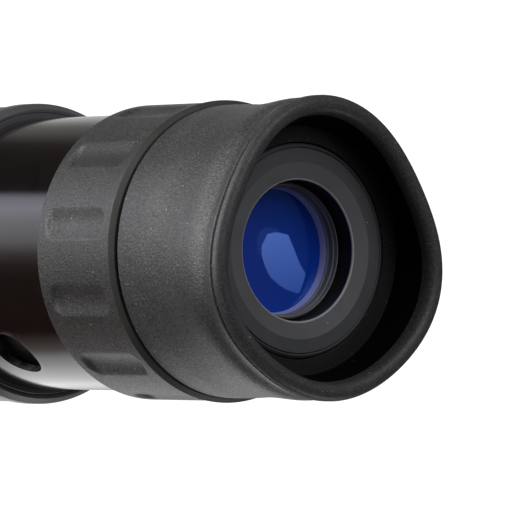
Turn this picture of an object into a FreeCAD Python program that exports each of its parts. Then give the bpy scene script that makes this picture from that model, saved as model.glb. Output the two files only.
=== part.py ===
import FreeCAD, Part
import os
from math import asin, atan2, cos, degrees, hypot, pi, radians, sin, tan
from FreeCAD import Vector

# Zoom eyepiece of a telescope, in millimetres. +Z is the optical axis towards the eye, and the origin is
# the centre of the nosepiece's open end. A fixed barrel carries a guide tube with straight slots. A drum
# with helical slots turns round the guide tube with the zoom ring and moves two lens groups along the axis.
# A rubber eyecup turns on the head. Angles in the XY plane are in degrees from +X towards +Y.

# ---- Clearances ----
run_fit = 0.05            # radial clearance of a turning or sliding fit
cam_fit = 0.10            # clearance of a roller in its helical slot
slot_end_relief = 0.03    # a helical slot's drilled ends are this much wider than the slot
end_play = 0.05           # end clearance of the drum between its washers
turning_gap = 0.3         # gap between faces that turn past each other
travel_spare = 0.3        # free slot length past a roller's last position
edge_break = 0.3          # small chamfer on outside edges

# ---- Zoom motion ----
turn_down = 55.0          # degrees the zoom ring turns back from rest
turn_up = 45.0            # degrees it turns forward from rest
eye_lead = 2.6            # mm the eye group rises per radian of the ring
field_lead = -5.0         # mm the field group moves per radian of the ring
pin_count = 3             # cam pins in each lens group
slot_sections = 11        # sections along one helical slot

# ---- Nosepiece ----
nose_r = 15.87            # standard 1.25 inch barrel
nose_length = 28.0
nose_wall = 1.1
filter_thread_depth = 0.77    # from the nosepiece's bore in to the M28.5 filter thread
filter_thread_length = 5.0
undercut_depth = 0.5
undercut_from_shoulder = 8.0
undercut_length = 8.0
nose_shoulder = 1.37      # step from the nosepiece in to its thread in the housing
nose_shank_length = 5.5
nose_shank_wall = 1.5
throat_below_shoulder = 4.0
nose_baffle_width = 3.27
nose_baffle_length = 1.6
nose_baffle_bevel = 0.8

# ---- Radial stack, from the inside out ----
eye_bore_r = 10.75        # the bore that the eye lens is seen through
bezel_width = 5.55
guide_wall = 1.2
drum_wall = 1.4
dial_wall = 0.7
dial_gap = 0.75
drum_boss_gap = 0.5       # from the drum's boss out to the outer tube's bore
tube_wall = 1.3
neck_wall = 0.6
skirt_wall = 0.85
grip_thickness = 1.15
flange_proud = 0.4

# ---- Housing and outer tube ----
housing_length = 23.3
collar_overhang = 2.4     # from the outer tube out to the collar
collar_length = 3.4
housing_step = 0.33       # the housing is this much smaller behind its collar
foot_taper_width = 4.57
foot_taper_length = 3.5
foot_edge_r = 0.4
foot_taper_r = 1.5
collar_edge_length = 1.0
collar_edge_width = 0.9
collar_edge_r = 0.6
collar_front_r = 0.35
spigot_height = 1.7
pilot_depth = 6.0         # the guide tube's pilot in the housing
cavity_wall = 0.8         # ledge under the guide tube's pilot
tube_exposed = 28.4
neck_length = 4.3
window_r = 4.45
window_above_collar = 12.0
window_angle = -87.3

# ---- Guide tube ----
foot_flange_thickness = 2.0
foot_flange_inset = 0.2
guide_above_nut = 3.0
foot_screw_count = 4
foot_screw_r = 0.8
foot_screw_head_r = 1.25
foot_screw_head_height = 0.6
foot_screw_length = 6.0
foot_screw_start = 20.0
screw_slot_width = 0.4
screw_slot_depth = 0.35

# ---- Drum, washers, stop ----
washer_thickness = 0.5
washer_width = 0.8
drum_flange_height = 3.0
drum_flange_fit = 0.1
stop_pin_r = 0.9
stop_pin_inset = 0.1
stop_pin_length = 8.0
stop_pin_angle = 100.0
stop_pin_below_flange = 0.3
stop_spare = 1.0          # degrees between the pin and the notch's ends past the range
notch_overcut = 0.001     # the notch's cutter passes the flange by this much
dial_gap_below = 0.3      # from the drum's flange up to the dial
dial_past_slot = 1.2      # from a roller's last position up to the dial's end
dial_edge = 0.15
nut_thickness = 1.75
nut_width = 2.0
nut_notch_width = 1.6
nut_notch_depth = 0.8
nut_notch_wall = 0.8      # left inside each notch

# ---- Zoom ring and grip ----
ring_length = 19.2
ring_lip_length = 0.85
lip_chamfer = 0.8
drum_boss_below_front = 14.2
ring_web_gap = 0.3
drive_screw_count = 3
drive_screw_r = 1.0
drive_screw_head_r = 1.5
drive_screw_head_height = 0.8
drive_screw_below_front = 2.3
drive_screw_start = 30.0
drive_screw_sink = 0.15   # its head lies this far under the rubber
flute_count = 12
flute_width = 5.0
flute_depth = 0.55
flute_start = 4.0
flute_rim = 1.7           # plain rim at each end of the grip
flute_corner_r = 1.3
grip_back_r = 0.35        # rounding of the rubber's edges
grip_front_r = 0.15

# ---- Lens groups: common sizes ----
pin_r = 1.1
pin_head_r = 1.6
pin_head_height = 0.5
roller_r = 1.9
pin_depth = 2.6
collar_wall = 1.05        # from a cell's pin holes in to its bore
lens_seat_lip = 0.9
pin_clearance = 0.15      # from a pin's head out to the drum's outside
roller_lift = 0.05        # from the guide tube's bore out to a roller
roller_play = 0.02        # under a pin's head

# ---- Eye group ----
eye_pin_below_front = 8.2
eye_pin_start = 90.0
eye_collar_half = 4.9
eye_lens_ledge = 0.3      # step from the lens out to its ring's seat
eye_ring_cover = 0.4      # width of the lens's rim under its ring
eye_lens_edge = 3.8
eye_lens_hollow = 0.6
eye_lens_back = 0.9
eye_lens_below_bore = 6.4
spacer_length = 2.8
spacer_wall = 0.7
crown_edge = 3.4
crown_top = 1.2
crown_back = 1.6
flint_edge = 3.2
flint_hollow = 0.6
nose_tube_wall = 2.15
cell_tip_gap = 0.3        # from the cell's tip out to the eye bore
cell_tip_wall = 0.3
cell_tip_step = 0.3
cell_shoulder = 1.0
cell_neck_taper = 2.0
cell_tip_below_bore = 2.8
cell_tip_length = 5.2
eye_ring_bevel_width = 0.25
eye_ring_bevel_share = 0.38
eye_ring_edge = 0.12
ridge_count = 2

# ---- Field group ----
field_pin_above_foot = 11.0
field_pin_start = -30.0
field_collar_half = 5.5
field_seat_height = 1.0
field_front_edge = 4.0
field_front_hollow = 1.2
field_joint_hollow = 1.0
field_rear_edge = 2.5
field_rear_crown = 1.0
field_ring_length = 2.0
field_ring_wall = 1.0
field_tube_wall = 2.0
field_tube_length = 8.5
field_stop_width = 2.7
field_stop_length = 1.5
field_stop_bevel = 1.0
field_stop_edge = 0.2
field_stop_inset = 1.0

# ---- Head, bezel and clip ----
journal_step = 1.6        # from the bezel out to the eyecup's journal
head_shank_length = 5.0
head_shank_wall = 1.1
bezel_ledge = 1.3         # from the bezel in to its thread
bezel_thread_length = 5.3
bezel_thread_gap = 0.5
bezel_height = 2.8
bezel_chamfer = 0.35
eye_bore_length = 4.0
funnel_width = 2.75
funnel_edge_r = 0.6
bezel_rise = 0.5
bore_bead_r = 0.3
bezel_room = 1.85         # from the eye bore out to the room for the cell's nose
clip_thickness = 0.9
clip_play = 0.02
clip_below_floor = 0.1
clip_depth = 0.7
clip_reach = 1.2
clip_opening = 16.0       # degrees

# ---- Eyecup ----
cup_wall = 2.0            # rubber round the hard ring
cup_depth = 16.1          # from the eyecup's base up to the eye bore's edge
cup_ring_wall = 2.65
cup_ring_lip = 1.2
cup_ring_inset = 0.1
nut_room = 0.4            # round the drum nut, inside the hard ring
cup_floor_thickness = 2.5
cup_floor_gap = 0.25      # groove between the rubber floor and the bezel
cup_floor_width = 2.45
cup_wall_spread = 0.6     # the inner wall leans out by this much
lip_height = 6.94         # middle of the lip's bead above the eye bore's edge
lip_overhang = -0.29      # mean radius of the lip past the eyecup's base
lip_waves = (-0.21, 0.525, 0.72, 0.30, -0.17)   # harmonics of the lip's outline, from the wing
lip_tilt = 0.73           # the wing's lip lies this much lower, the far side this much higher
cup_waist = 0.5           # the outside is pinched in by this much below the lip
wall_tilt_share = 0.8     # a wall point tilts by this share of the outline that it follows
# Control points up the outside: share of the height, share of the lip's outline followed and share of the
# waist.
wall_poles = ((0.02, 0, 0), (0.12, 0, 0), (0.26, 0, 0.15), (0.34, 0.03, 0.6), (0.5, 0.26, 1),
              (0.66, 0.5, 0.6), (0.8, 0.72, 0.1))
bead_r = 1.35             # roundness of the lip
# Control points over the lip, in bead radii out from its outline and up from its middle, and the share of
# the outline that each follows.
bead_poles = ((-0.6, -2.3, 0.8), (-0.55, -1.3, 0.95), (-0.05, -0.85, 1), (0.12, 0.0, 1), (-0.2, 0.85, 1),
              (-1.0, 1.12, 1), (-1.8, 0.8, 1), (-2.12, 0.0, 1), (-2.1, -0.8, 0.9))
# Control points down the inside: share of the height over the floor, and share of the outline followed.
inner_poles = ((0.72, 0.7), (0.5, 0.4), (0.25, 0.12), (0.1, 0), (0.04, 0))
inner_tilt_share = 0.9    # at the lip; less towards the floor
wing_angle = 135.5
skin_poles = 36           # control points round the eyecup

# ---- Places worked out along the axis ----
shoulder_z = nose_length
collar_face_z = shoulder_z + housing_length
spigot_z = collar_face_z + spigot_height
foot_z = spigot_z + foot_flange_thickness
drum_low_z = foot_z + washer_thickness + end_play
tube_shoulder_z = collar_face_z + tube_exposed
neck_z = tube_shoulder_z + neck_length
ring_back_z = tube_shoulder_z + turning_gap
ring_front_z = ring_back_z + ring_length
grip_front_z = ring_front_z - ring_lip_length
drum_high_z = ring_front_z - washer_thickness - end_play
nut_low_z = ring_front_z + end_play
nut_high_z = nut_low_z + nut_thickness
guide_top_z = nut_high_z + guide_above_nut
cup_base_z = ring_front_z + turning_gap
bore_z = cup_base_z + cup_depth
bezel_z = bore_z + bezel_rise
bezel_seat_z = bezel_z - bezel_height
cup_floor_z = bezel_z
cup_ceiling_z = cup_floor_z - cup_floor_thickness
clip_high_z = cup_ceiling_z - turning_gap - clip_below_floor
clip_low_z = clip_high_z - clip_thickness
head_shank_z = guide_top_z - head_shank_length
window_z = collar_face_z + window_above_collar
eye_pin_z = ring_front_z - eye_pin_below_front
field_pin_z = foot_z + field_pin_above_foot

# ---- Radii worked out ----
nose_bore_r = nose_r - nose_wall
filter_thread_r = nose_bore_r - filter_thread_depth
nose_shank_r = nose_r - nose_shoulder
nose_throat_r = nose_shank_r - nose_shank_wall
bezel_r = eye_bore_r + bezel_width
guide_bore_r = bezel_r
head_journal_r = bezel_r + journal_step
head_bore_r = bezel_r - bezel_ledge
guide_r = guide_bore_r + guide_wall
drum_bore_r = guide_r + run_fit
drum_r = drum_bore_r + drum_wall
dial_r = drum_r + dial_wall
tube_bore_r = dial_r + dial_gap
tube_r = tube_bore_r + tube_wall
neck_r = tube_bore_r + neck_wall
skirt_bore_r = neck_r + run_fit
ring_core_r = skirt_bore_r + skirt_wall
grip_r = ring_core_r + grip_thickness
ring_lip_r = grip_r + flange_proud
collar_r = tube_r + collar_overhang
drum_boss_r = tube_bore_r - drum_boss_gap
foot_flange_r = tube_bore_r - foot_flange_inset
cell_r = guide_bore_r - run_fit
pin_tip_r = drum_r - pin_clearance
roller_low_r = guide_bore_r + roller_lift
roller_high_r = pin_tip_r - pin_head_height
nut_r = guide_r + nut_width
washer_r = drum_bore_r + washer_width
stop_circle_r = tube_bore_r - stop_pin_inset - stop_pin_r
cell_tip_r = eye_bore_r - cell_tip_gap
lens_ring_r = cell_tip_r - cell_tip_wall
eye_lens_r = lens_ring_r - eye_lens_ledge
eye_clear_r = eye_lens_r - eye_ring_cover
field_lens_r = cell_r - pin_depth - collar_wall
field_seat_r = field_lens_r - lens_seat_lip
cup_bore_r = head_journal_r + run_fit
cup_ring_r = cup_bore_r + cup_ring_wall
cup_base_r = cup_ring_r + cup_wall
cup_floor_hole_r = bezel_r + cup_floor_gap
cup_floor_r = cup_floor_hole_r + cup_floor_width
lip_mean_r = cup_base_r + lip_overhang

axis = Vector(0, 0, 1)
origin = Vector(0, 0, 0)


def spun(shape, angle):
    """A copy of the shape, turned about the optical axis."""
    copy = shape.copy()
    copy.rotate(origin, axis, angle)
    return copy


def ring_of(shape, count, start):
    """Copies of the shape evenly round the optical axis."""
    return [spun(shape, start + 360.0 * i / count) for i in range(count)]


def outline(points):
    """Closed wire through (radius, height) points; a third value rounds that corner."""
    corners = []
    for i, point in enumerate(points):
        here = Vector(point[0], 0, point[1])
        if len(point) == 2:
            corners.append((here, None, here))
            continue
        before = points[i - 1]
        after = points[(i + 1) % len(points)]
        back = (Vector(before[0], 0, before[1]) - here).normalize()
        ahead = (Vector(after[0], 0, after[1]) - here).normalize()
        half = back.getAngle(ahead) / 2
        middle = here + (back + ahead).normalize() * (point[2] / sin(half) - point[2])
        run = point[2] / tan(half)
        corners.append((here + back * run, middle, here + ahead * run))
    edges = []
    for i, (start, middle, end) in enumerate(corners):
        if middle:
            edges.append(Part.Arc(start, middle, end).toShape())
        following = corners[(i + 1) % len(corners)][0]
        if (following - end).Length > 1e-6:
            edges.append(Part.makeLine(end, following))
    return Part.Wire(edges)


def turned(*points):
    """Solid of revolution about the optical axis."""
    return Part.Face(outline(points)).revolve(origin, axis, 360)


def sleeve(inner_r, outer_r, low, high, chamfer=0.0):
    """Plain tube, with its outside edges broken where a chamfer is given."""
    if not chamfer:
        return turned((inner_r, low), (outer_r, low), (outer_r, high), (inner_r, high))
    return turned((inner_r, low), (outer_r - chamfer, low), (outer_r, low + chamfer),
                  (outer_r, high - chamfer), (outer_r - chamfer, high), (inner_r, high))


def radial_bar(radius, inner, outer, height, angle=0.0):
    """Round bar that points away from the optical axis."""
    return spun(Part.makeCylinder(radius, outer - inner, Vector(inner, 0, height), Vector(1, 0, 0)), angle)


def sphere_arc(radius, edge_z, sag):
    """Edge of a lens face from the axis out to its rim; a positive sag rises above the rim."""
    if abs(sag) < 1e-6:
        return Part.makeLine(Vector(0, 0, edge_z), Vector(radius, 0, edge_z))
    curve = (radius ** 2 + sag ** 2) / (2 * sag)
    half = asin(radius / abs(curve)) / 2
    middle = Vector(abs(curve) * sin(half), 0, edge_z + sag - curve + curve * cos(half))
    return Part.Arc(Vector(0, 0, edge_z + sag), middle, Vector(radius, 0, edge_z)).toShape()


def lens(radius, low, high, low_sag, high_sag, low_land=0.0, high_land=0.0):
    """Lens with its rim between two heights.

    Each sag is the face's height over its rim at the axis, and each land is a flat ring at the rim.
    """
    edges = [sphere_arc(radius - high_land, high, high_sag)]
    if high_land:
        edges.append(Part.makeLine(Vector(radius - high_land, 0, high), Vector(radius, 0, high)))
    edges.append(Part.makeLine(Vector(radius, 0, high), Vector(radius, 0, low)))
    if low_land:
        edges.append(Part.makeLine(Vector(radius, 0, low), Vector(radius - low_land, 0, low)))
    edges.append(sphere_arc(radius - low_land, low, low_sag))
    edges.append(Part.makeLine(Vector(0, 0, low + low_sag), Vector(0, 0, high + high_sag)))
    return Part.Face(Part.Wire(edges)).revolve(origin, axis, 360)


def travel(lead):
    """Lowest and highest move along the axis of a group with this lead."""
    ends = (-radians(turn_down) * lead, radians(turn_up) * lead)
    return min(ends), max(ends)


def straight_slot(pin_z, lead):
    """Cutter for one axial slot of the guide tube, at angle 0."""
    half = roller_r + run_fit
    low, high = travel(lead)
    low_z = pin_z + low - travel_spare
    high_z = pin_z + high + travel_spare
    inner = guide_bore_r - 1
    outer = guide_r + 1
    middle = Part.makeBox(outer - inner, 2 * half, high_z - low_z, Vector(inner, -half, low_z))
    ends = [radial_bar(half, inner, outer, z) for z in (low_z, high_z)]
    return middle.fuse(ends).removeSplitter()


def helical_slot(pin_z, lead):
    """Cutters for one helical slot of the drum: a bar and two round ends. Its pin is at angle 0 at rest."""
    half = roller_r + cam_fit
    inner = drum_bore_r - 1
    outer = tube_bore_r + 1
    middle_r = (drum_bore_r + drum_r) / 2
    spare = degrees(travel_spare / middle_r)
    first = -turn_up - spare
    last = turn_down + spare
    slope = atan2(-lead, middle_r)
    side = Vector(0, -sin(slope), cos(slope)) * half
    sections = []
    for i in range(slot_sections):
        angle = first + (last - first) * i / (slot_sections - 1)
        middle = Vector(0, 0, pin_z - lead * radians(angle))
        corners = [Vector(inner, 0, 0) - side, Vector(outer, 0, 0) - side,
                   Vector(outer, 0, 0) + side, Vector(inner, 0, 0) + side]
        section = Part.makePolygon([middle + corner for corner in corners + corners[:1]])
        sections.append(spun(section, angle))
    drill_r = half + slot_end_relief
    ends = [radial_bar(drill_r, inner, outer, pin_z - lead * radians(a), a) for a in (first, last)]
    return [Part.makeLoft(sections, True, False)] + ends


def sector(inner, outer, low, high, start, end):
    """Part of a tube between two angles."""
    wide = Part.makeCylinder(outer, high - low, Vector(0, 0, low), axis, end - start)
    core = Part.makeCylinder(inner, high - low, Vector(0, 0, low), axis)
    return spun(wide.cut(core), start)


def save(name, *solids):
    """Write one sub-part: one solid, or a group of like ones."""
    for solid in solids:
        if not solid.isValid() or abs(solid.Volume) < 1e-3:
            raise RuntimeError(name + " is not a valid solid")
    shape = solids[0] if len(solids) == 1 else Part.makeCompound(list(solids))
    shape.exportStep("parts/" + name + ".step")


# ---- Fixed barrel ----

def nosepiece():
    top = shoulder_z - undercut_from_shoulder
    low = top - undercut_length
    waist_r = nose_r - undercut_depth
    throat_z = shoulder_z - throat_below_shoulder
    return turned(
        (filter_thread_r + edge_break, 0), (nose_r - edge_break, 0), (nose_r, edge_break),
        (nose_r, low), (waist_r, low + undercut_depth), (waist_r, top - undercut_depth), (nose_r, top),
        (nose_r, shoulder_z), (nose_shank_r, shoulder_z), (nose_shank_r, shoulder_z + nose_shank_length),
        (nose_throat_r, shoulder_z + nose_shank_length), (nose_throat_r, throat_z), (nose_bore_r, throat_z),
        (nose_bore_r, filter_thread_length), (filter_thread_r, filter_thread_length),
        (filter_thread_r, edge_break))


def nosepiece_baffle():
    high = shoulder_z - throat_below_shoulder
    low = high - nose_baffle_length
    inner_r = nose_bore_r - nose_baffle_width
    return turned((inner_r, low), (nose_bore_r, low), (nose_bore_r, high),
                  (inner_r + nose_baffle_bevel, high))


def housing():
    back_r = collar_r - housing_step
    collar_z = collar_face_z - collar_length
    pilot_z = spigot_z - pilot_depth
    cavity_r = guide_r - cavity_wall
    body = turned(
        (nose_shank_r, shoulder_z), (back_r - foot_taper_width, shoulder_z, foot_edge_r),
        (back_r, shoulder_z + foot_taper_length, foot_taper_r), (back_r, collar_z - housing_step),
        (collar_r, collar_z), (collar_r, collar_face_z - collar_edge_length, collar_edge_r),
        (collar_r - collar_edge_width, collar_face_z, collar_front_r),
        (tube_bore_r, collar_face_z), (tube_bore_r, spigot_z), (guide_r, spigot_z), (guide_r, pilot_z),
        (cavity_r, pilot_z), (cavity_r, shoulder_z + nose_shank_length),
        (nose_shank_r, shoulder_z + nose_shank_length))
    holes = [Part.makeCylinder(foot_screw_r, foot_screw_length, Vector(x, y, foot_z - foot_screw_length))
             for x, y in foot_screw_places()]
    holes.append(Part.makeCylinder(stop_pin_r, stop_pin_length, stop_pin_base()))
    return body.cut(holes)


def foot_screw_places():
    middle_r = (guide_r + foot_flange_r) / 2
    step = 360.0 / foot_screw_count
    angles = [radians(foot_screw_start + step * i) for i in range(foot_screw_count)]
    return [(middle_r * cos(a), middle_r * sin(a)) for a in angles]


def foot_screws():
    """Countersunk screws that hold the guide tube's foot to the housing."""
    neck_z = foot_z - foot_screw_head_height
    screws = []
    for x, y in foot_screw_places():
        head = Part.makeCone(foot_screw_r, foot_screw_head_r, foot_screw_head_height, Vector(x, y, neck_z))
        corner = Vector(x - foot_screw_head_r, y - screw_slot_width / 2, foot_z - screw_slot_depth)
        slot = Part.makeBox(2 * foot_screw_head_r, screw_slot_width, screw_slot_depth, corner)
        shank_length = foot_screw_length - foot_screw_head_height
        shank = Part.makeCylinder(foot_screw_r, shank_length, Vector(x, y, foot_z - foot_screw_length))
        screws.append(shank.fuse(head.cut(slot)).removeSplitter())
    return screws


def stop_pin_base():
    angle = radians(stop_pin_angle)
    base_z = drum_low_z + drum_flange_height - stop_pin_below_flange - stop_pin_length
    return Vector(stop_circle_r * cos(angle), stop_circle_r * sin(angle), base_z)


def stop_pin():
    return Part.makeCylinder(stop_pin_r, stop_pin_length, stop_pin_base())


def outer_tube():
    body = turned(
        (tube_bore_r, collar_face_z), (tube_r, collar_face_z), (tube_r - edge_break / 2, tube_shoulder_z),
        (neck_r, tube_shoulder_z), (neck_r, neck_z), (tube_bore_r, neck_z))
    window = radial_bar(window_r, tube_bore_r - 1, tube_r + 1, window_z, window_angle)
    return body.cut(window)


def guide_tube():
    body = turned(
        (guide_bore_r, spigot_z - pilot_depth), (guide_r, spigot_z - pilot_depth), (guide_r, spigot_z),
        (foot_flange_r, spigot_z), (foot_flange_r, foot_z), (guide_r, foot_z), (guide_r, guide_top_z),
        (guide_bore_r, guide_top_z))
    cutters = ring_of(straight_slot(eye_pin_z, eye_lead), pin_count, eye_pin_start)
    cutters += ring_of(straight_slot(field_pin_z, field_lead), pin_count, field_pin_start)
    for x, y in foot_screw_places():
        cone_z = foot_z - foot_screw_head_height
        cutters.append(Part.makeCone(foot_screw_r, foot_screw_head_r, foot_screw_head_height,
                                     Vector(x, y, cone_z)))
        cutters.append(Part.makeCylinder(foot_screw_r, foot_flange_thickness, Vector(x, y, spigot_z)))
    cutters.append(Part.makeCylinder(stop_pin_r, stop_pin_length, stop_pin_base()))
    return body.cut(cutters)


def drum_nut():
    """Nut on the guide tube that keeps the drum down."""
    nut = sleeve(guide_r, nut_r, nut_low_z, nut_high_z, edge_break)
    notch = Part.makeBox(2 * nut_r, nut_notch_width, nut_notch_depth,
                         Vector(-nut_r, -nut_notch_width / 2, nut_high_z - nut_notch_depth))
    inside = Part.makeCylinder(guide_r + nut_notch_wall, nut_thickness + 1, Vector(0, 0, nut_low_z))
    return nut.cut([spun(notch.cut(inside), a) for a in (45, 135)])


def head():
    """Eye-end sleeve: screwed into the guide tube, it is the eyecup's journal and holds the bezel."""
    groove_r = head_journal_r - clip_depth
    groove_low_z = clip_low_z - clip_play
    groove_high_z = clip_high_z + clip_play
    shank_bore_r = guide_bore_r - head_shank_wall
    return turned(
        (shank_bore_r, head_shank_z), (guide_bore_r, head_shank_z), (guide_bore_r, guide_top_z),
        (head_journal_r, guide_top_z), (head_journal_r, groove_low_z), (groove_r, groove_low_z),
        (groove_r, groove_high_z), (head_journal_r, groove_high_z),
        (head_journal_r, bezel_seat_z), (head_bore_r, bezel_seat_z),
        (head_bore_r, bezel_seat_z - bezel_thread_length - bezel_thread_gap), (shank_bore_r, guide_top_z))


def bezel():
    """Ring with the eye bore, a shallow funnel and a flat rim."""
    low = bezel_seat_z - bezel_thread_length
    room_r = eye_bore_r + bezel_room
    return turned(
        (room_r, low), (head_bore_r, low), (head_bore_r, bezel_seat_z), (bezel_r, bezel_seat_z),
        (bezel_r, bezel_z - bezel_chamfer), (bezel_r - bezel_chamfer, bezel_z),
        (eye_bore_r + funnel_width, bezel_z, funnel_edge_r),
        (eye_bore_r, bore_z, bore_bead_r), (eye_bore_r, bore_z - eye_bore_length),
        (room_r, bore_z - eye_bore_length))


def eyecup_clip():
    """Open spring ring that keeps the eyecup on its journal."""
    ring = sleeve(head_journal_r - clip_depth, head_journal_r + clip_reach, clip_low_z, clip_high_z)
    gap = sector(1, head_journal_r + clip_reach + 1, clip_low_z - 1, clip_high_z + 1, 0, clip_opening)
    return ring.cut(gap)


# ---- Turning zoom ring ----

def cam_drum():
    """Drum with three helical slots for each lens group; its surfaces close on a rib between slots."""
    flange_r = tube_bore_r - drum_flange_fit
    flange_z = drum_low_z + drum_flange_height
    boss_z = ring_front_z - drum_boss_below_front
    step = drum_boss_r - drum_r
    rib_angle = eye_pin_start + (turn_down - turn_up) / 2 - 180.0 / pin_count
    body = spun(turned(
        (drum_bore_r, drum_low_z), (flange_r, drum_low_z), (flange_r, flange_z), (drum_r, flange_z),
        (drum_r, boss_z - step), (drum_boss_r, boss_z), (drum_boss_r, drum_high_z),
        (drum_bore_r, drum_high_z)), rib_angle)
    cutters = []
    for piece in helical_slot(eye_pin_z, eye_lead):
        cutters += ring_of(piece, pin_count, eye_pin_start)
    for piece in helical_slot(field_pin_z, field_lead):
        cutters += ring_of(piece, pin_count, field_pin_start)
    swing = degrees(asin(stop_pin_r / stop_circle_r)) + stop_spare
    notch_r = stop_circle_r - stop_pin_r - turning_gap
    cutters.append(sector(notch_r, tube_bore_r + 1, drum_low_z - 1, flange_z + notch_overcut,
                          stop_pin_angle - turn_up - swing, stop_pin_angle + turn_down + swing))
    screw_z = ring_front_z - drive_screw_below_front
    hole = radial_bar(drive_screw_r, drum_r, drum_boss_r + 1, screw_z)
    cutters += ring_of(hole, drive_screw_count, drive_screw_start)
    for cutter in cutters:
        body = body.cut(cutter)
    return body


def dial_sleeve():
    """Thin sleeve on the drum that carries the figures seen in the window."""
    low = drum_low_z + drum_flange_height + dial_gap_below
    high = field_pin_z + travel(field_lead)[1] + roller_r + dial_past_slot
    return sleeve(drum_r, dial_r, low, high, dial_edge)


def zoom_ring():
    web_z = neck_z + ring_web_gap
    body = turned(
        (skirt_bore_r, ring_back_z), (ring_core_r, ring_back_z), (ring_core_r, grip_front_z),
        (ring_lip_r, grip_front_z), (ring_lip_r - lip_chamfer, ring_front_z), (drum_boss_r, ring_front_z),
        (drum_boss_r, web_z), (skirt_bore_r, web_z))
    screw_z = ring_front_z - drive_screw_below_front
    shank = radial_bar(drive_screw_r, drum_boss_r - 1, ring_core_r + 1, screw_z)
    head_r = ring_core_r - drive_screw_head_height
    seat = radial_bar(drive_screw_head_r, head_r, ring_core_r + 1, screw_z)
    return body.cut(ring_of(shank.fuse(seat), drive_screw_count, drive_screw_start))


def drive_screws():
    """Screws that tie the zoom ring to the drum, under the rubber."""
    screw_z = ring_front_z - drive_screw_below_front
    head_low = ring_core_r - drive_screw_head_height
    head_top = ring_core_r - drive_screw_sink
    shank = radial_bar(drive_screw_r, drum_r + drum_flange_fit, head_low, screw_z)
    screw_head = radial_bar(drive_screw_head_r, head_low, head_top, screw_z)
    corner = Vector(head_top - screw_slot_depth, -drive_screw_head_r, screw_z - screw_slot_width / 2)
    slot = Part.makeBox(screw_slot_depth, 2 * drive_screw_head_r, screw_slot_width, corner)
    screw = shank.fuse(screw_head.cut(slot)).removeSplitter()
    return ring_of(screw, drive_screw_count, drive_screw_start)


def rubber_grip():
    """Rubber sleeve with shallow flutes that are closed at both ends."""
    body = turned((ring_core_r, ring_back_z), (grip_r, ring_back_z, grip_back_r),
                  (grip_r, grip_front_z, grip_front_r), (ring_core_r, grip_front_z))
    length = grip_front_z - ring_back_z - 2 * flute_rim
    block = Part.makeBox(2 * flute_depth + 2, flute_width, length,
                         Vector(grip_r - flute_depth - 1, -flute_width / 2, ring_back_z + flute_rim))
    upright = [edge for edge in block.Edges if abs(edge.tangentAt(edge.FirstParameter).x) > 0.99]
    block = block.makeFillet(flute_corner_r, upright)
    core = Part.makeCylinder(grip_r - flute_depth, length + 2, Vector(0, 0, ring_back_z + flute_rim - 1))
    return body.cut(ring_of(block.cut(core), flute_count, flute_start))


# ---- Lens groups ----

def cam_pins(pin_z, start):
    """Headed pins in a cell's collar; each carries one roller."""
    inner = cell_r - pin_depth
    shank = radial_bar(pin_r, inner, roller_high_r, pin_z)
    cap = radial_bar(pin_head_r, roller_high_r, pin_tip_r, pin_z)
    return ring_of(shank.fuse(cap).removeSplitter(), pin_count, start)


def rollers(pin_z, start):
    outer = radial_bar(roller_r, roller_low_r, roller_high_r - roller_play, pin_z)
    hole = radial_bar(pin_r, roller_low_r - 1, roller_high_r + 1, pin_z)
    return ring_of(outer.cut(hole), pin_count, start)


def pin_holes(pin_z, start):
    return ring_of(radial_bar(pin_r, cell_r - pin_depth, cell_r + 1, pin_z), pin_count, start)


eye_rim_z = bore_z - eye_lens_below_bore          # top of the eye lens's rim
eye_back_z = eye_rim_z - eye_lens_edge
crown_rim_z = eye_back_z - spacer_length
joint_rim_z = crown_rim_z - crown_edge
flint_back_z = joint_rim_z - flint_edge
cell_tip_z = bore_z - cell_tip_below_bore


def eye_cell():
    """Cell of the eye group: a collar that slides in the guide tube and a nose that holds the lenses."""
    low = eye_pin_z - eye_collar_half
    collar_z = eye_pin_z + eye_collar_half
    nose_tube_r = eye_lens_r + nose_tube_wall
    step_z = cell_tip_z - cell_tip_length
    seat_r = eye_lens_r - lens_seat_lip
    wide_r = cell_r - pin_depth - collar_wall
    body = turned(
        (wide_r, low), (cell_r - edge_break, low), (cell_r, low + edge_break),
        (cell_r, collar_z - edge_break), (cell_r - edge_break, collar_z), (nose_tube_r, collar_z),
        (nose_tube_r, step_z - cell_shoulder), (cell_tip_r, step_z),
        (cell_tip_r, cell_tip_z - cell_tip_step), (lens_ring_r, cell_tip_z - cell_tip_step),
        (lens_ring_r, eye_rim_z), (eye_lens_r, eye_rim_z),
        (eye_lens_r, flint_back_z), (seat_r, flint_back_z), (seat_r, flint_back_z - cell_shoulder),
        (wide_r, flint_back_z - cell_shoulder - cell_neck_taper))
    return body.cut(pin_holes(eye_pin_z, eye_pin_start))


def eye_lens():
    """Lens with a slightly hollow face towards the eye."""
    ring_land = eye_lens_r - eye_clear_r
    return lens(eye_lens_r, eye_back_z, eye_rim_z, -eye_lens_back, -eye_lens_hollow, spacer_wall, ring_land)


def lens_spacer():
    return sleeve(eye_lens_r - spacer_wall, eye_lens_r, crown_rim_z, eye_back_z)


def doublet_crown():
    return lens(eye_lens_r, joint_rim_z, crown_rim_z, -crown_back, crown_top, 0, spacer_wall)


def doublet_flint():
    return lens(eye_lens_r, flint_back_z, joint_rim_z, flint_hollow, -crown_back)


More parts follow.
